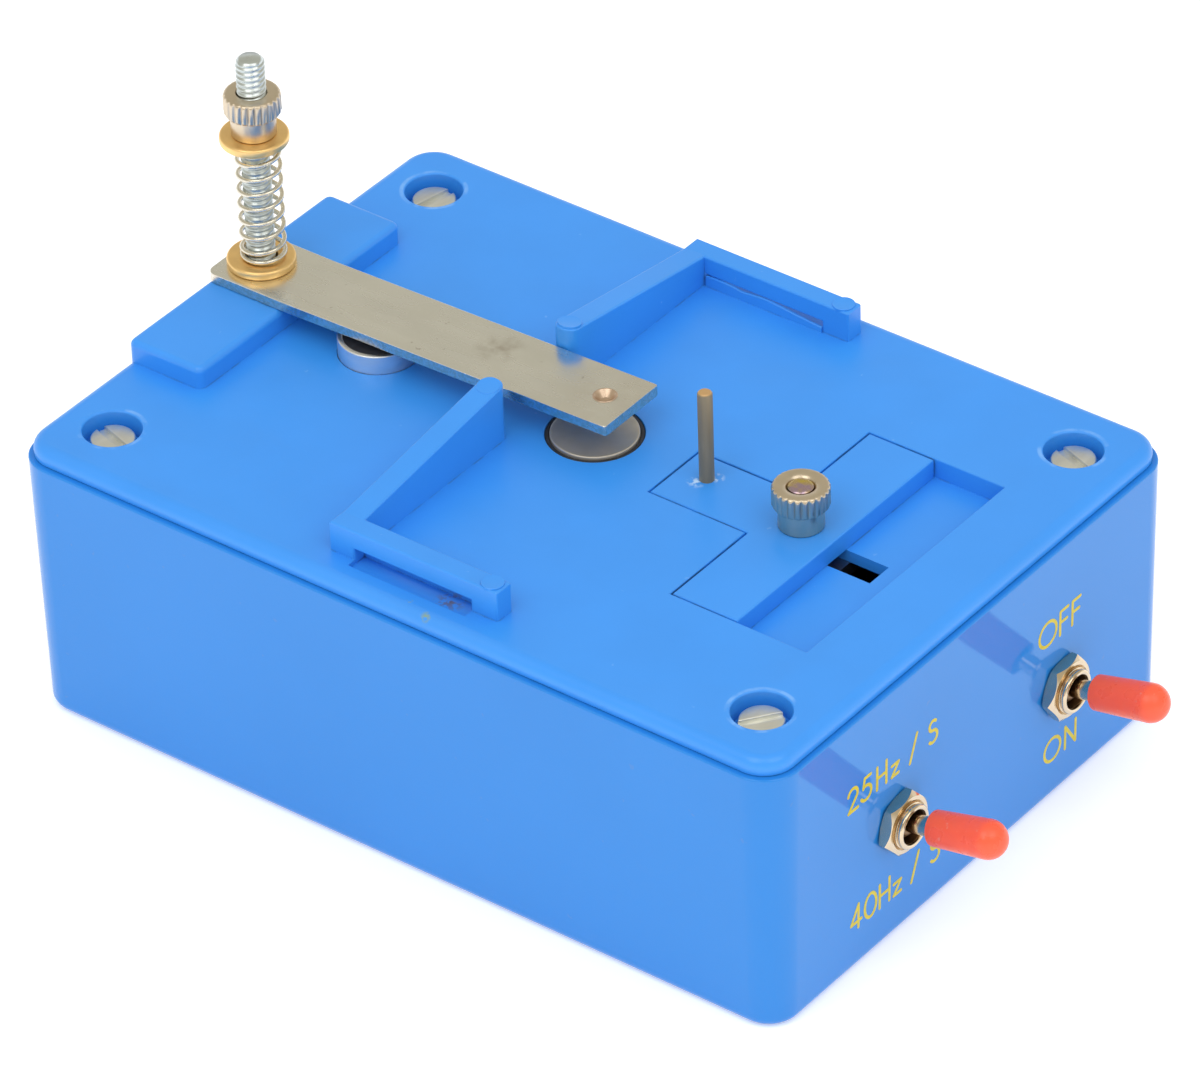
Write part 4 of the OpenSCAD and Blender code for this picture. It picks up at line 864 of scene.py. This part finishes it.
def build_lid_screws():
    b = Build()
    half, depth = 0.55, 0.6
    for (sx, sy), degrees in SCREW_TURNS.items():
        since = len(b.verts)
        spin(b, [(0, -11.9), (1.3, -11.9), (1.5, -11.4), (1.5, 0.0), (HEAD_R - 0.1, 0.0), (HEAD_R, 0.1),
                 (HEAD_R, HEAD_H - depth), (0, HEAD_H - depth)], 48)
        swing = math.degrees(math.acos(half / HEAD_R))
        for side in (0, 1):
            part = len(b.verts)
            land = arc(0, 0, HEAD_R, 90 - swing, 90 + swing, 22)
            slab(b, land, HEAD_H - depth - 0.05, HEAD_H, 0.2, steps=4)
            b.place(turn(180 * side, "Z"), part)
        b.place(move(sx * SCREW_X, sy * SCREW_Y, HEAD_Z) @ turn(degrees, "Z"), since)
    make("lid_screw_set", b, "case", screw_zinc, ("lid_screws",))


# The arm, its stud, spring and nut
def build_arm():
    b = Build()
    half, edge = ARM_WID / 2, 0.2

    def section(x, w, trim):
        outline = rounded(w - trim, ARM_T / 2 - trim, edge, ARM_Y, arm_z(x) + ARM_T / 2, 3)
        return b.loop([(x, y, z) for y, z in outline])

    rows = [section(ARM_LEFT, half - 1.05, 0.1)]
    rows += [section(ARM_LEFT + 0.05 + i, half - d, 0) for i, d in quarter(1.1, 8)[1:]]
    steps = 24
    rows += [section(SEAT_RIGHT + (ARM_RIGHT - 0.45 - SEAT_RIGHT) * k / steps, half, 0)
             for k in range(steps + 1)]
    rows += [section(ARM_RIGHT - 0.05 - d, half - i, 0) for i, d in quarter(0.35, 4)[1:]]
    rows.append(section(ARM_RIGHT, half - 0.45, 0.08))
    b.solid(rows)
    yaw = move(STUD_X, ARM_Y, 0) @ turn(ARM_YAW, "Z") @ move(-STUD_X, -ARM_Y, 0)
    b.place(yaw)
    strip = make("rocking_arm", b, None, steel_strip)
    base = arm_z(STRIKER_X)
    at_striker = yaw @ move(STRIKER_X, ARM_Y, base) @ turn(-ARM_BEND, "Y")
    holes = Build()
    spin(holes, [(0, -3), (2.4, -3), (2.4, 6), (0, 6)], 48, move(STUD_X, ARM_Y, SEAT_TOP))
    spin(holes, [(0, -3), (STRIKER_R - 0.03, -3), (STRIKER_R - 0.03, 6), (0, 6)], 48, at_striker)
    cut(strip, make("hole_cutter", holes, None, steel_strip))
    even_shading(strip)
    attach(strip, "rocker")
    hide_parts("vibrating_arm")
    t, low = ARM_T, STRIKER_LOW - base
    turning("striker_rivet", "rocker", copper, "striker",
            [(0, low), (PUNCH_R - 0.25, low), (PUNCH_R, low + 0.25),
             (PUNCH_R, 0.02), (STRIKER_R - 0.04, 0.02), (STRIKER_R - 0.04, t), (STRIKER_R, t + 0.02),
             (STRIKER_R - 0.06, t + 0.07), (STRIKER_R - 0.2, t + 0.06), (STRIKER_R - 0.36, t - 0.08),
             (0.72, t - 0.75), (0.6, t - 0.8), (0, t - 0.82)], 48, at_striker)


def washer_profile():
    e = 0.42
    return ([(WASHER_BORE, 0.1), (WASHER_BORE + 0.1, 0)] + arc(WASHER_R - e, e, e, -90, 0, 5)
            + arc(WASHER_R - e, WASHER_T - e, e, 0, 90, 5)
            + [(WASHER_BORE + 0.12, WASHER_T), (WASHER_BORE, WASHER_T - 0.12)])


def build_stud():
    b = Build()
    threaded(b, STUD_R, STUD_TOP - STUD_LEN, STUD_TOP, 0.3, 0.55)
    b.place(move(STUD_X, ARM_Y, 0))
    make("threaded_stud", b, "case", zinc, ("arm_stud",), sharp=60)
    for name, body, z, node in (("lower_brass_washer", "rocker", SEAT_TOP + ARM_T, "lower_washer"),
                                ("upper_brass_washer", "seat_washer", SPRING_HEAD, "upper_washer")):
        turning(name, body, brass, node, washer_profile(), 72, move(STUD_X, ARM_Y, z), ring=True)
    b = Build()
    toothed_nut(b, STUD_R + 0.05, STUD_R + 0.05, 0.12, move(STUD_X, ARM_Y, SPRING_HEAD + WASHER_T + 0.05))
    make("toothed_thumb_nut", b, "tension_nut", nickel, ("thumb_nut",), sharp=40)


def build_spring():
    b = Build()
    low, high = SPRING_FOOT + WIRE_R, SPRING_HEAD - WIRE_R
    closed, curls, end_angle = 1.0, 8.2, 235.0
    per = 32
    points, across = [], []
    for i in range(round(curls * per) + 1):
        t = i / per
        rise = 2 * WIRE_R + 0.05
        if t < closed:
            z = low + rise * t * t * (2 - t)
        else:
            z = low + rise + (high - low - rise) * (t - closed) / (curls - closed)
        a = math.radians(end_angle) - TURN * (curls - t)
        out = Vector((math.cos(a), math.sin(a), 0))
        points.append(SPRING_R * out + Vector((STUD_X + 0.28, ARM_Y + 0.21, z)))
        across.append(out)
    tube(b, points, across, WIRE_R, 12)
    spring = make("coil_spring", b, None, spring_wire, ("arm_spring",), sharp=70)
    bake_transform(spring)


# Magnet, anvil and slide
def build_magnet():
    low, inner = POT_TOP - POT_H, POT_R - POT_WALL
    turning("magnet_steel_pot", "case", pot_steel, "magnet_pot",
            [(0, low)] + arc(POT_R - 0.4, low + 0.4, 0.4, -90, 0, 4)
            + arc(POT_R - 0.2, POT_TOP - 0.2, 0.2, 0, 90, 4)
            + [(inner + 0.12, POT_TOP), (inner, POT_TOP - 0.12), (inner, low + 1.5), (0, low + 1.5)],
            72, move(MAGNET_X, 0, 0))
    top = POT_TOP - 0.3
    turning("magnet_resin", "case", resin, "magnet_potting",
            [(2.05, top - 1.5), (inner - 0.05, top - 1.5), (inner - 0.05, top + 0.1),
             (inner - 0.5, top - 0.05),
             (3.2, top - 0.1), (2.3, top - 0.04), (2.05, top - 0.1)], 72, move(MAGNET_X, 0, 0), ring=True)


def build_anvil():
    z = ANVIL_TOP
    turning("anvil_disc", "case", anvil_steel, "anvil",
            [(0, PLUG_BOTTOM - 4.2), (1.7, PLUG_BOTTOM - 4.2), (2.0, PLUG_BOTTOM - 3.9), (2.0, z - ANVIL_T),
             (ANVIL_R - 0.1, z - ANVIL_T), (ANVIL_R, z - ANVIL_T + 0.1)]
            + arc(ANVIL_R - 0.22, z - 0.22, 0.22, 0, 90, 4)
            + [(ANVIL_R - 0.6, z - 0.01), (3.0, z), (0, z)], 96, move(ANVIL_X, ANVIL_Y, 0))
    z = LID_TOP
    turning("anvil_black_ring", "case", rubber, "anvil_ring",
            [(ANVIL_R + 0.05, z - 1.85), (RING_R, z - 1.85), (RING_R, z - 0.2), (RING_R - 0.1, z - 0.1),
             (ANVIL_R + 0.15, z - 0.1), (ANVIL_R + 0.05, z - 0.2)], 96, move(ANVIL_X, ANVIL_Y, 0), ring=True)


def build_slide():
    b = Build()
    slab(b, t_outline(BAR_LEN, GAP + 0.08), RECESS_Z + 0.05, LID_TOP, 0.3, steps=4)
    make("slide_tongue", b, "tongue", slide_blue, ("disc_slide",), even=True)
    turning("disc_pin", "tongue", bronze, "disc_spindle",
            [(0, RECESS_Z + 0.05), (1.2, RECESS_Z + 0.05), (1.2, LID_TOP - 0.6), (SPINDLE_R, LID_TOP - 0.5),
             (SPINDLE_R, SPINDLE_TOP - 0.32), (SPINDLE_R - 0.06, SPINDLE_TOP - 0.2),
             (SPINDLE_R - 0.26, SPINDLE_TOP - 0.02), (SPINDLE_R - 0.4, SPINDLE_TOP), (0, SPINDLE_TOP)],
            40, move(SPINDLE_X, SPINDLE_Y, 0))
    b = Build()
    low = PLUG_BOTTOM - 0.05 - 2.0
    top = LID_TOP + 0.05 + NUT_COLLAR_H + NUT_GRIP_H
    threaded(b, 1.95, low, top - 1.2, 0.25, 0)
    spin(b, [(0, top - 1.5), (1.7, top - 1.5), (1.7, top - 0.28), (1.62, top - 0.2), (1.2, top + 0.02),
             (1.1, top + 0.03), (0, top + 0.03)], 48)
    hex_nut(b, 7.0, 2.8, 1.9, move(0, 0, low - 2.8))
    spin(b, [(0, low - 2.75), (1.93, low - 2.75), (1.93, low), (0, low)], 36)
    b.place(move(CLAMP_X, SLIDE_Y, 0))
    make("clamp_bolt", b, "tongue", yellow_zinc, ("clamp_screw",), sharp=24)
    b = Build()
    toothed_nut(b, 2.0, 1.76, 0.5, move(CLAMP_X, SLIDE_Y, LID_TOP + 0.05) @ turn(7, "Z"))
    make("toothed_clamp_nut", b, "clamp_grip", nickel, ("clamp_nut",), sharp=40)


# Switches
def build_switches():
    nuts = Build()
    ball = 2.3
    reach = math.degrees(math.asin(LEVER_R / ball))
    tail = math.degrees(math.asin(0.9 / ball))
    rod_end = CAP_START + 8.5
    body_end = CAP_LEN - CAP_R1
    root, bore = 0.3, LEVER_R + 0.05
    side = [(CAP_R0 + (CAP_R1 - CAP_R0) * t - dip, body_end * t)
            for t, dip in ((0.04, 0.0), (0.3, 0.0), (0.55, 0.0), (0.7, 0.0), (0.72, 0.02), (0.74, 0.0),
                           (0.86, 0.0), (0.88, 0.02), (0.9, 0.0))]
    for name, (y, z, degrees) in SWITCHES.items():
        x = face_x(z)
        out = turn(90, "Y")
        hex_nut(nuts, HEX_AF, HEX_T, BUSH_R + 0.02, move(x, y, z) @ out @ turn(-degrees, "Z"))
        start = x + HEX_T - BUSH_IN
        end = start + BUSH_OUT
        tilt = move(x, y, z) @ turn(90 - LEVER_TILT, "Y")

        def fixed(piece, surface, profile):
            turning(name + piece, "case", surface, name + "_switch_bush", profile, 72,
                    move(BUSH_IN, y, z) @ out, ring=True, sharp=40 if surface is bright_nickel else SHARP)

        def swinging(piece, surface, node, profile, sides, lift=0.0, ring=False):
            turning(name + piece, name + "_toggle", surface, name + node, profile, sides,
                    tilt @ move(0, 0, lift), ring)

        fixed("_bush", bright_nickel,
              [(BUSH_R + 0.6, -0.8), (BUSH_R + 0.6, 0.0), (BUSH_R, 0.0), (BUSH_R, start + 0.12),
               (BUSH_R - 0.2, start + 0.24), (BUSH_R - 0.2, start + 0.3), (BUSH_R - 0.03, start + 0.42)]
              + arc(BUSH_R - 0.4, end - 0.38, 0.37, 0, 105, 8)
              + [(BUSH_BORE + 0.05, end - 0.12), (BUSH_BORE, end - 0.3), (BUSH_BORE, -0.8)])
        swinging("_toggle_rod", bright_nickel, "_lever",
                 [(0, 1.0), (LEVER_R - 0.05, 1.0), (LEVER_R - 0.05, 2.6), (LEVER_R, 3.4),
                  (LEVER_R, rod_end - 0.2), (LEVER_R - 0.2, rod_end), (0, rod_end)], 48)
        # The pivot ball is a real part, coloured with the dark brown painted shade of the bore.
        swinging("_pivot_ball", bore_shade, "_lever",
                 [(0, -4.3), (0.75, -4.3), (0.9, -4.1)] + arc(0, 0, ball, tail - 90, 90 - reach, 18)
                 + [(0, 1.9)], 48)
        # A thin dark lining inside the bush's bore: painted shade, not a part of the switch.
        fixed("_bore_shade_lining", bore_shade,
              [(BUSH_BORE - 0.03, -0.7), (BUSH_BORE + 0.02, -0.7), (BUSH_BORE + 0.02, end - 0.4),
               (BUSH_BORE - 0.03, end - 0.4)])
        swinging("_red_cap", cap_red, "_lever_cap",
                 [(bore, root + 0.12), (bore + 0.12, root), (CAP_R0 - 0.2, root),
                  (CAP_R0 - 0.06, root + 0.06)]
                 + side + arc(0, body_end, CAP_R1, 0, 88, 12) + [(0, CAP_LEN), (0, 8.7), (bore, 8.55)],
                 64, CAP_START, ring=True)
    make("switch_hex_nuts", nuts, "case", bright_nickel, ("switch_nuts",), sharp=20)


def build_sockets():
    sleeves = Build()
    for name, x, skin, slot in (("red_socket", SOCKETS[0], socket_red, "red_socket_plastic"),
                                ("black_socket", SOCKETS[1], socket_black, "black_socket_plastic")):
        frame_of = move(x, CASE_Y + SOCKET_FACE, SOCKET_Z) @ turn(-90, "X")
        bore = SLEEVE_R + 0.05
        turning(name + "_shell", "case", skin, name,
                [(bore, -6.0), (NECK_R, -6.0), (NECK_R, 0.0), (SOCKET_R - 0.2, 0.0), (SOCKET_R, 0.2)]
                + arc(SOCKET_R - 0.8, SOCKET_HEAD - 0.8, 0.8, 0, 90, 6)
                + [(bore + 0.9, SOCKET_HEAD), (bore + 0.7, SOCKET_HEAD - 0.25),
                   (bore + 0.25, SOCKET_HEAD - 0.3), (bore, SOCKET_HEAD - 0.2)], 64, frame_of, ring=True)
        top = SOCKET_HEAD - 0.05
        foot = top - SLEEVE_LEN
        spin(sleeves, [(0, foot), (SLEEVE_R - 0.3, foot), (SLEEVE_R, foot + 0.3),
                       (SLEEVE_R, top - 0.15), (SLEEVE_R - 0.15, top), (SOCKET_BORE + 0.25, top),
                       (SOCKET_BORE, top - 0.25), (SOCKET_BORE, top - BORE_LEN), (0, top - BORE_LEN - 0.6)],
             48, frame_of)
    make("socket_sleeve_pair", sleeves, "case", bright_nickel, ("socket_sleeves",))


# Printed words of the switches
def oval(w, n=28):
    return [(w / 2 - w / 2 * math.cos(TURN * i / n), 0.5 + 0.5 * math.sin(TURN * i / n))
            for i in range(n)] + ["closed"]


GLYPHS = {
    "O": [oval(1.02)],
    "F": [[(0, 0), (0, 1)], [(0, 1), (0.46, 1)], [(0, 0.53), (0.4, 0.53)]],
    "N": [[(0, 0), (0, 1)], [(0, 1), (0.66, 0)], [(0.66, 0), (0.66, 1)]],
    "H": [[(0, 0), (0, 1)], [(0.56, 0), (0.56, 1)], [(0, 0.5), (0.56, 0.5)]],
    "z": [[(0, 0.5), (0.42, 0.5)], [(0.42, 0.5), (0, 0)], [(0, 0), (0.42, 0)]],
    "/": [[(0, -0.08), (0.42, 1.06)]],
    "2": [bow(0.28, 0.72, 0.28, 0.28, 170, -30) + [(0.02, 0.0)], [(0.02, 0), (0.58, 0)]],
    "5": [[(0.52, 1), (0.16, 1)], [(0.16, 1), (0.08, 0.56)], bow(0.24, 0.32, 0.32, 0.32, 118, -150)],
    "4": [[(0.42, 0), (0.42, 1)], [(0.42, 1), (0, 0.28)], [(0, 0.28), (0.58, 0.28)]],
    "0": [oval(0.66)],
    "S": [bow(0.26, 0.76, 0.22, 0.22, 40, 250, 12) + bow(0.26, 0.27, 0.26, 0.27, 75, -140, 14)],
}
WORDS = [
    [("O", 13.5), ("F", 18.1), ("F", 20.8), 25.7, 3.7],
    [("O", 15.2), ("N", 19.85), 6.3, 3.5],
    [("2", -27.7), ("5", -24.8), ("H", -21.6), ("z", -18.5), ("/", -14.6), ("S", -10.6), 26.0, 3.5],
    [("4", -26.9), ("0", -24.0), ("H", -20.8), ("z", -17.8), ("/", -14.0), ("S", -9.9), 6.6, 3.7],
]


def stroke(b, points, half, lift):
    """One stroke of the print: a thin strip with round ends, in the wall's own plane."""
    closed = points[-1] == "closed"
    pts = [Vector(p) for p in (points[:-1] if closed else points)]
    n = len(pts)
    left, right = [], []
    for i in range(n):
        before = pts[i - 1] if closed or i else pts[0]
        after = pts[(i + 1) % n] if closed or i < n - 1 else pts[-1]
        d = (after - before).normalized()
        side = Vector((-d.y, d.x)) * half
        left.append(pts[i] + side)
        right.append(pts[i] - side)

    def solid(loops):
        rows = []
        for one in loops:
            low, high = b.loop([(p[0], p[1], 0.0) for p in one]), b.loop([(p[0], p[1], lift) for p in one])
            b.wall(low, high)
            rows.append((low, high))
        b.cap(*[r[0] for r in rows])
        b.cap(*[r[1] for r in rows])

    if closed:
        solid([left, right])
        return
    ends = []
    for tip, d in ((pts[-1], pts[-1] - pts[-2]), (pts[0], pts[0] - pts[1])):
        a = math.atan2(d.y, d.x)
        ends.append([tip + half * Vector((math.cos(a + t), math.sin(a + t)))
                     for t in (-1.05, -0.52, 0.0, 0.52, 1.05)])
    solid([right + ends[0] + left[::-1] + ends[1]])


def build_words():
    b = Build()
    count = 0
    for word in WORDS:
        z0, tall = word[-2:]
        for glyph, y0 in word[:-2]:
            for line in GLYPHS[glyph]:
                pts = [p if p == "closed" else (y0 + p[0] * tall, z0 + p[1] * tall) for p in line]
                stroke(b, pts, 0.24, 0.022 + 0.002 * (count % 7))
                count += 1
    for i, v in enumerate(b.verts):
        b.verts[i] = Vector((wall_x(v.y) + v.z - 0.005, v.x, v.y))
    make("switch_words", b, "case", ink)


# Camera, floor and light
WHITE = (1.0, 1.0, 1.0, 1.0)
TENT_SIDE, TENT_TOP = (1.05, 1.05, 1.05, 1.0), (0.85, 0.85, 0.85, 1.0)
CEILING = (0.56, 0.53, 0.44, 1.0)
FLOOR_GLOW, FLOOR_SEEN = 0.22, 0.3
LAMPS = (("front_lamp", (-0.0205, -0.587, 0.809), 1.6), ("right_lamp", (0.575, -0.122, 0.809), 1.3))


def build_camera():
    data = bpy.data.cameras.new("camera")
    data.sensor_fit = "HORIZONTAL"
    data.sensor_width = 36
    data.lens = 263.733
    data.clip_start = 0.01
    cam = bpy.data.objects.new("camera", data)
    right = Vector((0.79604687, 0.60462644, -0.02713403))
    down = Vector((0.33904808, -0.48262842, -0.80753713))
    ahead = Vector((-0.50135395, 0.63366766, -0.58919227))
    place = Matrix((right, -down, -ahead)).transposed().to_4x4()
    place.translation = Vector((0.568989, -0.717917, 0.694436))
    cam.matrix_world = place
    bpy.context.scene.collection.objects.link(cam)
    bpy.context.scene.camera = cam


def build_stage():
    b = Build()
    size = 2500
    b.cap(b.loop(at(box_outline(-size, size, -size, size), -0.05)))
    floor = Surface("pale_floor")
    floor.color(floor.mix(floor.patches((6,), 0.3, 0.7), srgb(244, 244, 244), srgb(249, 249, 249)))
    floor.set(Roughness=0.9, Specular_IOR_Level=0.1)
    path = floor.node("LightPath")
    seen = floor.math("MAXIMUM", path.outputs["Is Glossy Ray"], path.outputs["Is Transmission Ray"])
    seen = floor.math("MAXIMUM", path.outputs["Is Camera Ray"], seen)
    glow = floor.node("Emission")
    floor.link(floor.spread(seen, 0.0, 1.0, FLOOR_GLOW, FLOOR_SEEN), glow.inputs["Strength"])
    both = floor.node("AddShader")
    floor.link(floor.out.outputs["BSDF"], both.inputs[0])
    floor.link(glow.outputs["Emission"], both.inputs[1])
    end = next(n for n in floor.tree.nodes if n.type == "OUTPUT_MATERIAL")
    floor.link(both.outputs["Shader"], end.inputs["Surface"])
    make("pale_floor_plane", b, None, floor.mat)


def build_light():
    """A soft tent: pale all round, a little dimmer overhead, with lamps from the front and the right."""
    world = bpy.data.worlds.new("studio")
    bpy.context.scene.world = world
    world.use_nodes = True
    sky = Nodes(world.node_tree)
    back = next(n for n in sky.tree.nodes if n.type == "BACKGROUND")
    path = sky.node("LightPath")
    up = sky.part(sky.node("TexCoord").outputs["Generated"], "Z")
    tent = sky.mix(sky.spread(up, 0.0, 1.0), TENT_SIDE, TENT_TOP)
    shiny = sky.mix(sky.spread(up, 0.14, 0.31), WHITE, CEILING)
    tent = sky.mix(path.outputs["Is Glossy Ray"], tent, shiny)
    seen = sky.math("MAXIMUM", path.outputs["Is Camera Ray"], path.outputs["Is Transmission Ray"])
    sky.link(sky.mix(seen, tent, WHITE), back.inputs["Color"])
    back.inputs["Strength"].default_value = 1.0
    for name, towards, power in LAMPS:
        data = bpy.data.lights.new(name, "AREA")
        data.shape = "DISK"
        data.size = 0.6
        data.energy = power
        lamp = bpy.data.objects.new(name, data)
        lamp.location = Vector((0, 0, 0.04)) + 0.9 * Vector(towards)
        lamp.rotation_euler = Vector(towards).to_track_quat("Z", "Y").to_euler()
        bpy.context.scene.collection.objects.link(lamp)


bpy.context.scene.view_settings.view_transform = "Standard"
build_camera()
build_stage()
build_light()
dress_inner()
build_case()
build_lid()
build_guides()
build_lid_screws()
build_arm()
build_stud()
build_spring()
build_magnet()
build_anvil()
build_slide()
build_switches()
build_sockets()
build_words()
